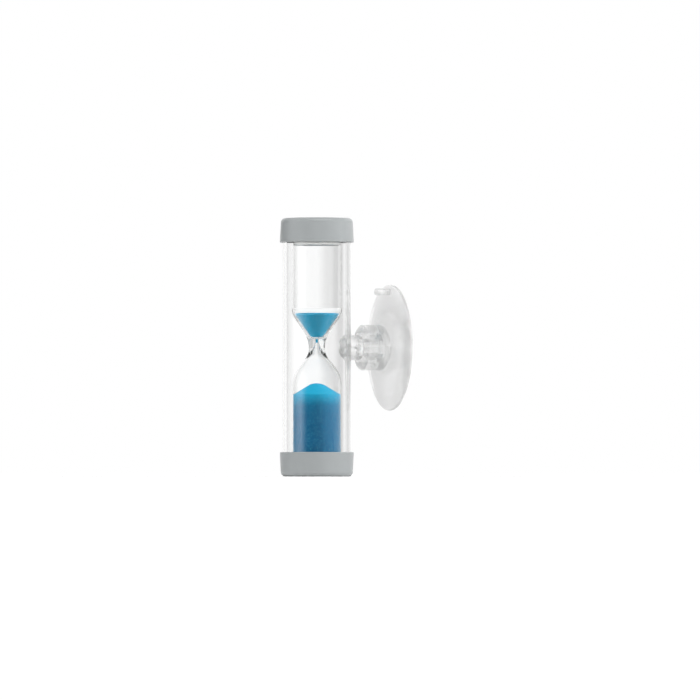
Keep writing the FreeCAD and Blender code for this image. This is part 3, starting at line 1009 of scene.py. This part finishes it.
    def plug(self) -> bpy.types.Object:
        """The stopper: a short cylinder with rounded edges and a slightly hollow inner face."""
        low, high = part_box("vial_plug")
        radius = self.bore_r - self.plug_slip
        outline = rounded(
            (
                (0, low.z + self.plug_hollow),
                (0.75 * radius, low.z + self.plug_hollow / 3, 3 * MM),
                (radius - self.plug_edge, low.z, self.plug_edge),
                (radius, low.z + self.plug_crown, self.plug_edge),
                (radius, high.z, self.plug_crown),
                (0, high.z),
            ),
            0.15,
        )
        return lathed("stopper", outline, self.columns)

    def pad(self, side: str) -> bpy.types.Object:
        """A foam disc whose edge is rounded and bulges a little under the load."""
        low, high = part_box(f"{side}_pad")
        radius = (high.x - low.x) / 2
        outline = rounded(
            (
                (0, low.z),
                (radius - self.pad_bulge, low.z, self.pad_edge),
                (radius, (low.z + high.z) / 2, 1.0 * MM),
                (radius - self.pad_bulge, high.z, self.pad_edge),
                (0, high.z),
            ),
            0.2,
        )
        return lathed(f"{side}_foam_pad", outline, self.columns)

    def roughened(self, grid: np.ndarray, first: int, sand_r: float, seed: int) -> np.ndarray:
        """Gives a heap's free rows the heights of grains and of low lumps, less near the glass.

        Args:
            grid: The turned outline, (rows, columns, 3), ending at the axis.
            first: The first free row.
            sand_r: How far the sand reaches, where the heights have faded out.
            seed: Picks the heights.

        Returns:
            The same grid, with its free rows lowered by up to the two heights.
        """
        free = grid[first:]
        places = free[..., :2]
        fade = np.clip((sand_r - reach_of(places)) / self.smooth_edge, 0, 1)
        grains = lattice(places, self.grain_side, seed) - 1
        lumps = lattice(places, self.lump_side, seed + 1) - 1
        free[..., 2] += fade * (grains * self.grain_height + lumps * self.lump_height) / 2
        return grid

    def dimple(self, reach: np.ndarray) -> np.ndarray:
        """How deep the sand has sunk at distances from the axis: depth * exp(-(r / reach)^2)."""
        return self.dimple_depth * np.exp(-((reach / self.dimple_r) ** 2))

    def upper_sand(self) -> bpy.types.Object:
        """Sand in the bowl: the glass's inside less its slip, up to the level, with a tail in the throat."""
        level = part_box("upper_sand")[1].z - self.waist_z
        shoulder, edge, throat = self.bowl(self.sand_slip)
        tail_z = self.throat_height - self.sand_tail
        side = rounded(
            ((0, tail_z), (throat[0], tail_z), throat, edge, shoulder, (shoulder[0], self.mouth)), 0.04
        )
        level_r = float(np.interp(level, side[:, 1], side[:, 0]))
        side = supported(side[side[:, 1] < level], apart=1 * MM)
        reach = np.arange(level_r, 0, -0.12 * MM)
        top = np.column_stack((reach, level - self.dimple(reach)))
        outline = np.vstack((side, top, [(0, level - self.dimple_depth)])) + (0, self.waist_z)
        grid = turned(outline, whole_turn(self.sand_columns), Axis.TUBE)
        grid = self.roughened(grid, len(side), level_r, 5)
        piece = Skin("upper_sand_fill").grid(grid).sew()
        where = corners_of(piece)
        top_z = level + self.waist_z - self.dimple(reach_of(where))
        # Painted light: all of the upper sand gets at least 0.95 of the lighter loose colour, standing in for
        # the light that its downward faces lack.
        paint(piece, "loose_and_lit", np.clip(1 - (top_z - where[:, 2]) / self.upper_loose_and_lit, 0.95, 1))
        return piece

    def lower_sand(self) -> bpy.types.Object:
        """Sand on the floor, with a cone on top whose tip is a round that touches the cone's sides."""
        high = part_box("lower_sand")[1]
        sand_r, slope = self.bore_r - self.sand_slip, self.heap_slope
        floor = self.waist_z + self.foot + self.floor + self.sand_slip
        tip_r = self.heap_round * math.sin(slope)
        tip_z = high.z - self.heap_round * (1 - math.cos(slope))
        foot_z = tip_z - (sand_r - tip_r) * math.tan(slope)
        side = rounded(
            (
                (0, floor),
                (sand_r, floor, self.foot_round - self.wall - self.sand_slip),
                (sand_r, foot_z),
            ),
            0.08,
        )
        cone = supported(np.array(((sand_r, foot_z), (tip_r, tip_z))), apart=0.13 * MM)
        tip = arc((0, high.z - self.heap_round), self.heap_round, RIGHT_ANGLE - slope, RIGHT_ANGLE, 0.02)
        outline = np.vstack((side[:-1], cone[:-1], tip))
        outline[-1, 0] = 0.0
        grid = turned(outline, whole_turn(self.sand_columns), Axis.TUBE)
        grid = self.roughened(grid, len(side) - 1, sand_r, 11)
        piece = Skin("lower_sand_fill").grid(grid).sew()
        where = corners_of(piece)
        # Painted light and shade: the heap's top gets the lighter loose colour, which fades with depth below
        # it to the darker packed colour down the sides.
        heap_z = foot_z + (sand_r - reach_of(where)) * math.tan(slope)
        depth = (np.minimum(heap_z, high.z) - where[:, 2]) / self.lower_loose_and_lit
        paint(piece, "loose_and_lit", np.clip(1 - depth, 0, 1) ** 2)
        return piece

    def build(self) -> None:
        """Makes the glass, the stopper, both pads and both bodies of sand."""
        fit_out(self.glass(), BLOWN_GLASS, Body.TIMER, "glass_vial")
        fit_out(self.plug(), STOPPER_RUBBER, Body.TIMER, "vial_plug")
        for side in ("top", "bottom"):
            fit_out(self.pad(side), PAD_FOAM, Body.TIMER, f"{side}_pad")
        fit_out(self.upper_sand(), BLUE_SAND, Body.TIMER, "upper_sand")
        fit_out(self.lower_sand(), BLUE_SAND, Body.TIMER, "lower_sand")


# ---------------------------------------------------------------- the pivot


@dataclass
class Stud:
    """The clear stud that is riveted through the tube and turns in the cup.

    Places along it are from the tube's axis, towards the wall.
    """

    slip: float = 0.05 * MM
    boss_r: float = 4.45 * MM
    boss_face: float = 16.2 * MM
    edge: float = 0.2 * MM
    hole_r: float = 1.1 * MM
    hole_patch: float = 1.65 * MM
    hole_cells: int = 10
    head_r: float = 3.4 * MM
    head_thickness: float = 1.95 * MM
    head_crown: float = 6.0 * MM
    rivet_r: float = 2.45 * MM
    shank_r: float = 3.05 * MM
    bead_r: float = 3.4 * MM
    bead_length: float = 1.3 * MM
    lead: float = 0.9 * MM
    columns: int = 96

    def __post_init__(self) -> None:
        """Works out the boss's ends, the patch round its hole and the angles that all its grids share.

        The angles about the pivot's axis have the hole's grid lines at +X and at -X.
        """
        self.face_y = TUBE_Y + self.boss_face
        self.seat_r, self.bore_r = TUBE_R + self.slip, TUBE_R - TUBE_WALL - self.slip
        hole_y = TUBE_Y + (TUBE_R + self.boss_face) / 2
        self.hole = Opening((0.0, hole_y), (self.hole_patch, self.hole_patch), self.hole_cells)
        across = self.hole.sides()[0] / self.boss_r
        rest = np.linspace(across[-1], math.pi + across[0], self.columns // 2)
        half = np.concatenate((across, rest[1:-1]))
        self.around = np.concatenate((half, half + math.pi, [half[0] + FULL_TURN]))
        self.skin = Skin("pivot_stud_moulding")

    def saddle(self, tube_r: float, radius: np.ndarray) -> np.ndarray:
        """Points on a round tube at a radius from the pivot's axis: y is the root of tube_r^2 - x^2.

        Args:
            tube_r: The tube's radius.
            radius: Distances from the pivot's axis.

        Returns:
            A grid of points, (radii, angles, 3).
        """
        x, z = radius[:, None] * np.cos(self.around), radius[:, None] * np.sin(self.around)
        return np.stack((x, TUBE_Y + np.sqrt(tube_r**2 - x**2), z), axis=-1)

    def boss(self) -> None:
        """The boss's saddle on the tube and its side, up to its rounded edge, less a patch at either mouth.

        Rows of the side that are outside the patches count as infinitely far from them.
        """
        seat = self.saddle(self.seat_r, np.linspace(self.rivet_r, self.boss_r, 6))
        along = self.hole.sides()[1]
        heights = np.append(along, self.face_y - self.edge)
        upright = turned(
            np.column_stack((np.full_like(heights, self.boss_r), heights)), self.around, Axis.PIVOT
        )
        side = np.concatenate((seat[-1:], (seat[-1:] + upright[:1]) / 2, upright))
        across = self.around * self.boss_r
        rows = np.concatenate(([-np.inf, -np.inf], along, [np.inf]))
        far = Opening((math.pi * self.boss_r, self.hole.centre[1]), self.hole.half, self.hole.cells)
        self.skin.grid(seat).grid(side, self.hole.covers(across, rows) | far.covers(across, rows))

    def cross_hole(self) -> None:
        """The hole across the boss, with the same patch round its mouth at +X and at -X."""
        bearing = self.hole.angles()
        z = self.hole_r * np.cos(bearing)
        along = self.hole.centre[1] + self.hole_r * np.sin(bearing)
        ring = self.hole.ring(np.column_stack((self.boss_r * np.arcsin(z / self.boss_r), along)), 6)
        angle = ring[..., 0] / self.boss_r
        patch = np.stack((self.boss_r * np.cos(angle), ring[..., 1], self.boss_r * np.sin(angle)), axis=-1)
        mirrored = patch * (-1, 1, 1)
        self.skin.grid(patch).grid(mirrored)
        self.skin.grid(patch[0] + (mirrored[0] - patch[0]) * np.linspace(0, 1, 9)[:, None, None])

    def shank(self) -> None:
        """The boss's face, the shank, the bead and its lead, turned about the pivot's axis."""
        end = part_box("pivot_stud")[1].y
        bead_y = end - self.lead - self.bead_length
        outline = rounded(
            (
                (self.boss_r, self.face_y - self.edge),
                (self.boss_r, self.face_y, self.edge),
                (self.shank_r, self.face_y, self.edge / 2),
                (self.shank_r, bead_y, self.edge / 2),
                (self.bead_r, bead_y, self.edge / 2),
                (self.bead_r, end - self.lead, self.edge),
                (self.bead_r - self.lead, end, self.edge),
                (0, end),
            ),
            0.3,
        )
        self.skin.grid(turned(outline, self.around, Axis.PIVOT))

    def head(self) -> None:
        """The rivet through the tube's wall, and the head with its saddle, its side and its domed crown."""
        under = self.saddle(self.bore_r, np.linspace(self.rivet_r, self.head_r, 5))
        neck = self.saddle(self.seat_r, np.array((self.rivet_r,)))
        self.skin.grid(np.concatenate((under[:1], neck))).grid(under)
        crown_y = TUBE_Y + TUBE_R - TUBE_WALL - self.head_thickness + self.head_crown
        lean = np.linspace(0, math.asin(self.head_r / self.head_crown), 14)
        dome = np.column_stack((self.head_crown * np.sin(lean), crown_y - self.head_crown * np.cos(lean)))
        dome[0, 0] = 0.0
        crown = turned(dome, self.around, Axis.PIVOT)
        self.skin.grid(crown).grid(np.concatenate((crown[-1:], under[-1:])))

    def build(self) -> None:
        """Sews the stud from its boss, the hole across it, its shank and its head."""
        self.boss()
        self.cross_hole()
        self.shank()
        self.head()
        fit_out(self.skin.sew(), STUD_PLASTIC, Body.TIMER, "pivot_stud")


@dataclass
class Cup:
    """The suction cup: a disc pressed flat, a neck, a knob with a blind bore, and a lift tab.

    Places along it are from the wall towards the room, so they are -y. The disc's front has its own measures:
    the arc length at the tab's height and the distance from the pivot's axis.
    """

    rim: float = 0.9 * MM
    rim_round: float = 0.4 * MM
    rim_lean: float = 0.02 * MM
    rim_lip: float = 0.12 * MM
    rim_lip_round: float = 0.1 * MM
    rim_foot: float = 0.15 * MM
    centre: float = 1.9 * MM
    crown: float = 120.0 * MM
    cavity_r: float = 14.0 * MM
    cavity_depth: float = 0.25 * MM
    neck_r: float = 5.25 * MM
    neck_round: float = 0.4 * MM
    knob_foot: float = 2.9 * MM
    knob_r: float = 8.15 * MM
    knob_back_round: float = 1.2 * MM
    knob_front_round: float = 0.9 * MM
    bore_r: float = 3.1 * MM
    bore_round: float = 0.15 * MM
    bore_chamfer: float = 0.4 * MM
    chamfer_round: float = 0.2 * MM
    socket_r: float = 3.6 * MM
    socket_mouth: float = 6.2 * MM
    socket_end: float = 3.6 * MM
    socket_round: float = 0.3 * MM
    tab_inset: float = 2.6 * MM
    tab_half_width: float = 2.5 * MM
    tab_half_thickness: float = 1.3 * MM
    tab_reach: float = 5.6 * MM
    tab_end_round: float = 0.8 * MM
    tab_waist: float = 0.2 * MM
    tab_root_half: float = 0.85 * MM
    tab_root_round: float = 0.35 * MM
    tab_squareness: float = 5.0
    root_patch: tuple[float, float] = (3.6 * MM, 2.05 * MM)
    root_cells: int = 14
    columns: int = 160

    def __post_init__(self) -> None:
        """Takes the cup's width and length from the frame, and sets the patch round the tab's root."""
        low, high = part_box("suction_cup")
        self.disc_r, self.knob_face = high.x, -low.y
        self.tab_z = self.disc_r - self.tab_inset
        self.root = Opening((0.0, self.tab_z), self.root_patch, self.root_cells)
        self.skin = Skin("suction_cup_moulding")

    def front(self, reach: np.ndarray) -> np.ndarray:
        """How far the disc's front stands from the wall: an arc of the crown's radius through both its ends.

        Args:
            reach: Distances from the pivot's axis.

        Returns:
            Distances from the wall.
        """
        first = np.array((self.neck_r + 2 * self.neck_round, self.centre))
        last = np.array((self.disc_r - self.rim_round, self.rim))
        middle, half = (first + last) / 2, (last - first) / 2
        run = float(np.hypot(*half))
        back = np.array((half[1], -half[0])) / run * math.sqrt(self.crown**2 - run**2)
        centre = middle + back
        return centre[1] + np.sqrt(self.crown**2 - (reach - centre[0]) ** 2)

    def hollow(self) -> np.ndarray:
        """The cavity's outline: an arc from its edge to its middle, whose radius is (r^2 / d + d) / 2."""
        depth = self.cavity_depth
        spread = self.cavity_r**2 / (2 * depth) + depth / 2
        outline = arc((0, depth - spread), spread, math.asin((spread - depth) / spread), RIGHT_ANGLE, 0.02)
        outline[-1, 0] = 0.0
        return outline

    def disc(self) -> None:
        """All that is turned: the bore, knob, neck, the disc's front less a patch, its rim and cavity."""
        across, reach = self.root.sides()
        rest = np.linspace(self.root.half[0], FULL_TURN * self.tab_z - self.root.half[0], self.columns)
        across = np.concatenate((across, rest[1:]))
        around = RIGHT_ANGLE - across / self.tab_z
        front_start, front_end = self.neck_r + 2 * self.neck_round, self.disc_r - self.rim_round
        knob = rounded(
            (
                (0, self.socket_end),
                (self.socket_r, self.socket_end, self.socket_round),
                (self.socket_r, self.socket_mouth, self.bore_round),
                (self.bore_r, self.socket_mouth, self.bore_round),
                (self.bore_r, self.knob_face - self.bore_chamfer, self.chamfer_round),
                (self.bore_r + self.bore_chamfer, self.knob_face, self.chamfer_round),
                (self.knob_r, self.knob_face, self.knob_front_round),
                (self.knob_r, self.knob_foot, self.knob_back_round),
                (self.neck_r, self.knob_foot, self.neck_round / 2),
                (self.neck_r, self.centre, self.neck_round),
                (front_start, self.centre),
            ),
            0.1,
        )
        plain = np.linspace(front_start, self.root.centre[1] - self.root.half[1], 24)[1:-1]
        reaches = np.concatenate((plain, reach, [front_end]))
        front = np.vstack((knob[-1:], np.column_stack((reaches, self.front(reaches)))))
        rim = rounded(
            (
                (front_end, self.rim),
                (self.disc_r - self.rim_lean, self.rim - self.rim_lean, self.rim_round * 0.9),
                (self.disc_r, self.rim_lip, self.rim_lip_round),
                (self.disc_r - self.rim_foot, 0),
                (self.cavity_r, 0),
            ),
            0.2,
        )
        covered = self.root.covers(across, front[:, 0])
        for outline, skip in ((knob, None), (front, covered), (rim, None), (self.hollow(), None)):
            self.skin.grid(turned(outline * (1, -1), around, Axis.PIVOT), skip)

    def tab_loop(
        self, half_width: float, half_thickness: float, stand: float | None, lift: float = 0.0
    ) -> np.ndarray:
        """A loop round the tab: a rectangle with round corners, as |x/a|^n + |z/b|^n = 1.

        Args:
            half_width: The a of the formula.
            half_thickness: The b of the formula.
            stand: How far the loop is from the wall, or None where it follows the disc's front.
            lift: How far it is off the front.

        Returns:
            Its points, one for each border point of the patch, (count, 3).
        """
        bearing = self.root.angles()
        unit = np.column_stack((np.cos(bearing), np.sin(bearing)))
        power = self.tab_squareness
        reach = (np.abs(unit / (half_width, half_thickness)) ** power).sum(axis=1) ** (-1 / power)
        x, z = (unit * reach[:, None] + (0, self.tab_z)).T
        y = -(self.front(np.hypot(x, z)) + lift) if stand is None else np.full_like(x, -stand)
        return np.column_stack((x, y, z))

    def tab(self) -> None:
        """The tab: loops that leave the disc in a round, narrow, widen to the end and close over it."""
        foot = self.front(np.array((self.tab_z,)))[0] + self.tab_root_round
        end = self.tab_reach - self.tab_end_round
        loops = []
        for turn in np.linspace(0, RIGHT_ANGLE, 6):
            spare, lift = (self.tab_root_round * (1 - share) for share in (math.sin(turn), math.cos(turn)))
            width = self.tab_half_width - self.tab_waist + spare
            loops.append(self.tab_loop(width, self.tab_root_half + spare, None, lift))
        for share in np.linspace(0.08, 1, 14):
            swell = share * share * (3 - 2 * share)
            half = self.tab_root_half + (self.tab_half_thickness - self.tab_root_half) * swell
            width = self.tab_half_width - self.tab_waist * (1 - swell)
            loops.append(self.tab_loop(width, half, foot + share * (end - foot)))
        for turn in np.linspace(0, RIGHT_ANGLE, 8)[1:]:
            inset = self.tab_end_round * (1 - math.cos(turn))
            stand = self.tab_reach - self.tab_end_round * (1 - math.sin(turn))
            loops.append(self.tab_loop(self.tab_half_width - inset, self.tab_half_thickness - inset, stand))
        tip, middle = loops[-1], np.array((0.0, -self.tab_reach, self.tab_z))
        loops += [middle + (tip - middle) * share for share in (0.6, 0.3, 0.0)]
        self.skin.grid(np.stack(loops))

        x, _, z = loops[0].T
        ring = self.root.ring(np.column_stack((self.tab_z * np.arctan2(x, z), np.hypot(x, z))), 5)
        turn, reach = ring[..., 0] / self.tab_z, ring[..., 1]
        self.skin.grid(np.stack((reach * np.sin(turn), -self.front(reach), reach * np.cos(turn)), axis=-1))

    def build(self) -> None:
        """Sews the cup from its turned outlines and its tab."""
        self.disc()
        self.tab()
        fit_out(self.skin.sew(), SOFT_VINYL, Body.CUP, "suction_cup")


# ---------------------------------------------------------------- light, floor and camera


@dataclass(frozen=True)
class Surround:
    """How bright the surroundings are, by level bearing in degrees, clockwise from a main direction.

    Between its stops the brightness eases from one to the next. Upwards and downwards it eases to two levels,
    while the upright part of the direction goes through the steep range.
    """

    stops: tuple[tuple[float, float], ...]
    above: float
    below: float
    steep: tuple[float, float] = (0.35, 0.85)


@dataclass(frozen=True)
class Lamp:
    """A square soft lamp: where it stands, as seen from the object, and how strong it is.

    Its bearing starts at the camera, and a positive one is to the right, as the camera sees it. Both angles
    are in degrees, the distance and the side in metres, and the power in watts. Where pieces are named, it
    lights only them.
    """

    name: str
    bearing: float
    elevation: float
    distance: float
    side: float
    power: float
    only: tuple[str, ...] = ()


@dataclass
class Studio:
    """Plain pale surroundings, soft lamps, a pale floor and the camera.

    The bearings of what is seen through clear parts start straight behind the timer, and those of what is
    mirrored start at the camera. A positive one is to the right, as the camera sees it.
    """

    azimuth: float = 70.0
    distance: float = 3.2
    lens: float = 461.7
    eye_height: float = 1.6 * MM
    aim_share: float = 0.553
    aim_z: float = -0.9 * MM
    floor_side: float = 9.0
    plain: float = 0.12
    lamps: tuple[Lamp, ...] = (
        Lamp("right_lamp", 85, 3, 1.9, 0.8, 23.0),
        Lamp("left_lamp", -88, 3, 1.9, 0.8, 16.0),
        Lamp("front_lamp", 0, 2, 1.9, 0.6, 8.0),
        Lamp("high_lamp", 15, 60, 1.9, 1.0, 30.0),
        Lamp("left_sand_lamp", -90, 4, 1.9, 0.8, 24.0, SAND_PIECES),
        Lamp("right_sand_lamp", 90, 4, 1.9, 0.8, 24.0, SAND_PIECES),
        Lamp("upper_sand_lamp", 0, 1, 1.9, 0.4, 7.0, ("upper_sand_fill",)),
        Lamp("stopper_lamp", 0, 1, 1.9, 0.4, 30.0, ("stopper",)),
    )
    seen_through: Surround = Surround(
        (
            (-180, 0.14), (-150, 0.1), (-142, 0.1), (-134, 0.3), (-127, 0.8), (-118, 1.5),
            (-108, 1.6), (-98, 1.2), (-90, 0.85), (-80, 0.45), (-68, 0.1), (-55, 0.15), (-47, 0.6),
            (-42, 1.15), (-16, 1.12), (-10, 1.05), (-7, 1.08), (-4, 1.18), (0.4, 1.18), (1, 1.05),
            (2.2, 0.93), (3.4, 0.84), (6, 0.73), (8, 0.77), (10, 0.8), (13, 0.92), (16, 0.87),
            (22, 0.7), (42, 0.7), (66, 0.8), (100, 0.6), (180, 0.14),
        ),
        0.7,
        0.7,
    )
    mirrored: Surround = Surround(
        (
            (-180, 1.1), (-152, 1), (-138, 0.06), (-122, 0.06), (-113, 0.15), (-100, 0.2),
            (-92, 0.3), (-82, 0.7), (-64, 1), (-54, 0.9), (-44, 0.15), (-36, 0.03), (-5, 0.02),
            (3, 0.1), (15, 0.16), (55, 0.2), (75, 0.3), (88, 0.4), (97, 0.5), (106, 0.9),
            (118, 1.2), (150, 1.2), (180, 1.1),
        ),
        0.5,
        0.5,
    )

    def away(self) -> tuple[float, float]:
        """The level direction from the object to the camera."""
        turn = math.radians(self.azimuth)
        return math.sin(turn), -math.cos(turn)

    def surroundings(self, tree: Tree, way: Sequence[Value], behind: bool, seen: Surround) -> Value:
        """How bright the surroundings are in a direction.

        The bearing is the arc tangent of the part to the camera's right over the part along the main
        direction, and it goes through a ramp of the stops. Steep directions ease to the levels above and
        below.

        Args:
            tree: The world's tree.
            way: The direction's x, y and z.
            behind: True where bearings start behind the object, and False where they start at the camera.
            seen: The surroundings.

        Returns:
            The brightness.
        """
        x, y, z = way
        east, north = self.away()
        side = x * -north + y * east
        ahead = (x * east + y * north) * (-1 if behind else 1)
        turn = side.maths("ARCTAN2", side, ahead) / FULL_TURN + 0.5
        stops = [(bearing / 360 + 0.5, level) for bearing, level in seen.stops]
        level = tree.ramp(turn, stops)
        up, down = z.between(*seen.steep), (z * -1).between(*seen.steep)
        return level * (1 - up) * (1 - down) + up * seen.above + down * seen.below

    def world(self) -> None:
        """White to the camera, plain to matt surfaces, and a soft studio to clear and glossy ones."""
        world = bpy.data.worlds.new("studio")
        bpy.context.scene.world = world
        tree = Tree(world)
        where = tree.node("ShaderNodeTexCoord").outputs["Generated"]
        split = tree.node("ShaderNodeSeparateXYZ", None, {"Vector": where})
        way = [tree.value(split, axis) for axis in "XYZ"]
        camera, glossy, through = tree.rays()
        seen = self.surroundings(tree, way, True, self.seen_through)
        mirror = self.surroundings(tree, way, False, self.mirrored)
        plain = (1 - camera) * (1 - glossy) * (1 - through) * self.plain
        bright = camera + through * seen + glossy * (1 - through) * mirror + plain
        shade = tree.node("ShaderNodeBackground", None, {"Color": (1, 1, 1, 1), "Strength": bright})
        tree.node("ShaderNodeOutputWorld", None, {"Surface": shade.outputs[0]})

    def shine(self, lamp: Lamp, middle: Vector) -> None:
        """Places a lamp that faces the object, and lights it without showing in it.

        Its place is the middle plus its distance along (cos e cos b, cos e sin b, sin e), on axes towards the
        camera, to its right and up.

        Args:
            lamp: The lamp.
            middle: The middle of the object.
        """
        bearing, elevation = math.radians(lamp.bearing), math.radians(lamp.elevation)
        east, north = self.away()
        level = Vector((east, north, 0)) * math.cos(bearing) + Vector((-north, east, 0)) * math.sin(bearing)
        way = level * math.cos(elevation) + Vector((0, 0, math.sin(elevation)))
        light = bpy.data.lights.new(lamp.name, "AREA")
        light.size, light.energy = lamp.side, lamp.power
        thing = bpy.data.objects.new(lamp.name, light)
        thing.location = middle + way * lamp.distance
        thing.rotation_mode = "QUATERNION"
        thing.rotation_quaternion = (-way).to_track_quat("-Z", "Y")
        thing.visible_glossy = thing.visible_transmission = False
        bpy.context.scene.collection.objects.link(thing)
        if lamp.only:
            lit = bpy.data.collections.new(f"{lamp.name}_reaches")
            for name in lamp.only:
                lit.objects.link(bpy.data.objects[name])
            thing.light_linking.receiver_collection = lit

    def floor(self, height: float) -> None:
        """A wide pale floor under the object.

        Args:
            height: The floor's height.
        """
        half = self.floor_side / 2
        mesh = bpy.data.meshes.new("floor")
        corners = [(-half, -half, height), (half, -half, height), (half, half, height), (-half, half, height)]
        mesh.from_pydata(corners, [], [(0, 1, 2, 3)])
        mesh.materials.append(FloorFinish().material())
        thing = bpy.data.objects.new("floor", mesh)
        bpy.context.scene.collection.objects.link(thing)
        thing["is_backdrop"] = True

    def camera(self, base: float) -> None:
        """A long lens just above the floor, which looks level past the wall's side of the timer.

        Args:
            base: The floor's height.
        """
        aim = Vector((0, TUBE_Y * self.aim_share, self.aim_z))
        east, north = self.away()
        eye = Vector((aim.x + east * self.distance, aim.y + north * self.distance, base + self.eye_height))
        lens = bpy.data.cameras.new("camera")
        lens.lens = self.lens
        lens.clip_start, lens.clip_end = 0.01, 50
        camera = bpy.data.objects.new("camera", lens)
        camera.location = eye
        camera.rotation_mode = "QUATERNION"
        camera.rotation_quaternion = (aim - eye).to_track_quat("-Z", "Y")
        bpy.context.scene.collection.objects.link(camera)
        bpy.context.scene.camera = camera

    def build(self, low: Vector, high: Vector) -> None:
        """Sets up the camera, the world, the floor and the lamps round the object's box."""
        scene = bpy.context.scene
        scene.view_settings.view_transform = "Standard"
        self.camera(low.z)
        self.world()
        self.floor(low.z)
        for lamp in self.lamps:
            self.shine(lamp, (low + high) / 2)


def main() -> None:
    """Builds every piece in order, then the studio that lights them."""
    logging.basicConfig(level=logging.INFO, format="%(name)s: %(message)s")
    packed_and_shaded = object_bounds()
    Housing().build()
    Vial().build()
    Stud().build()
    Cup().build()
    Studio().build(*packed_and_shaded)


if __name__ == "__main__":
    main()
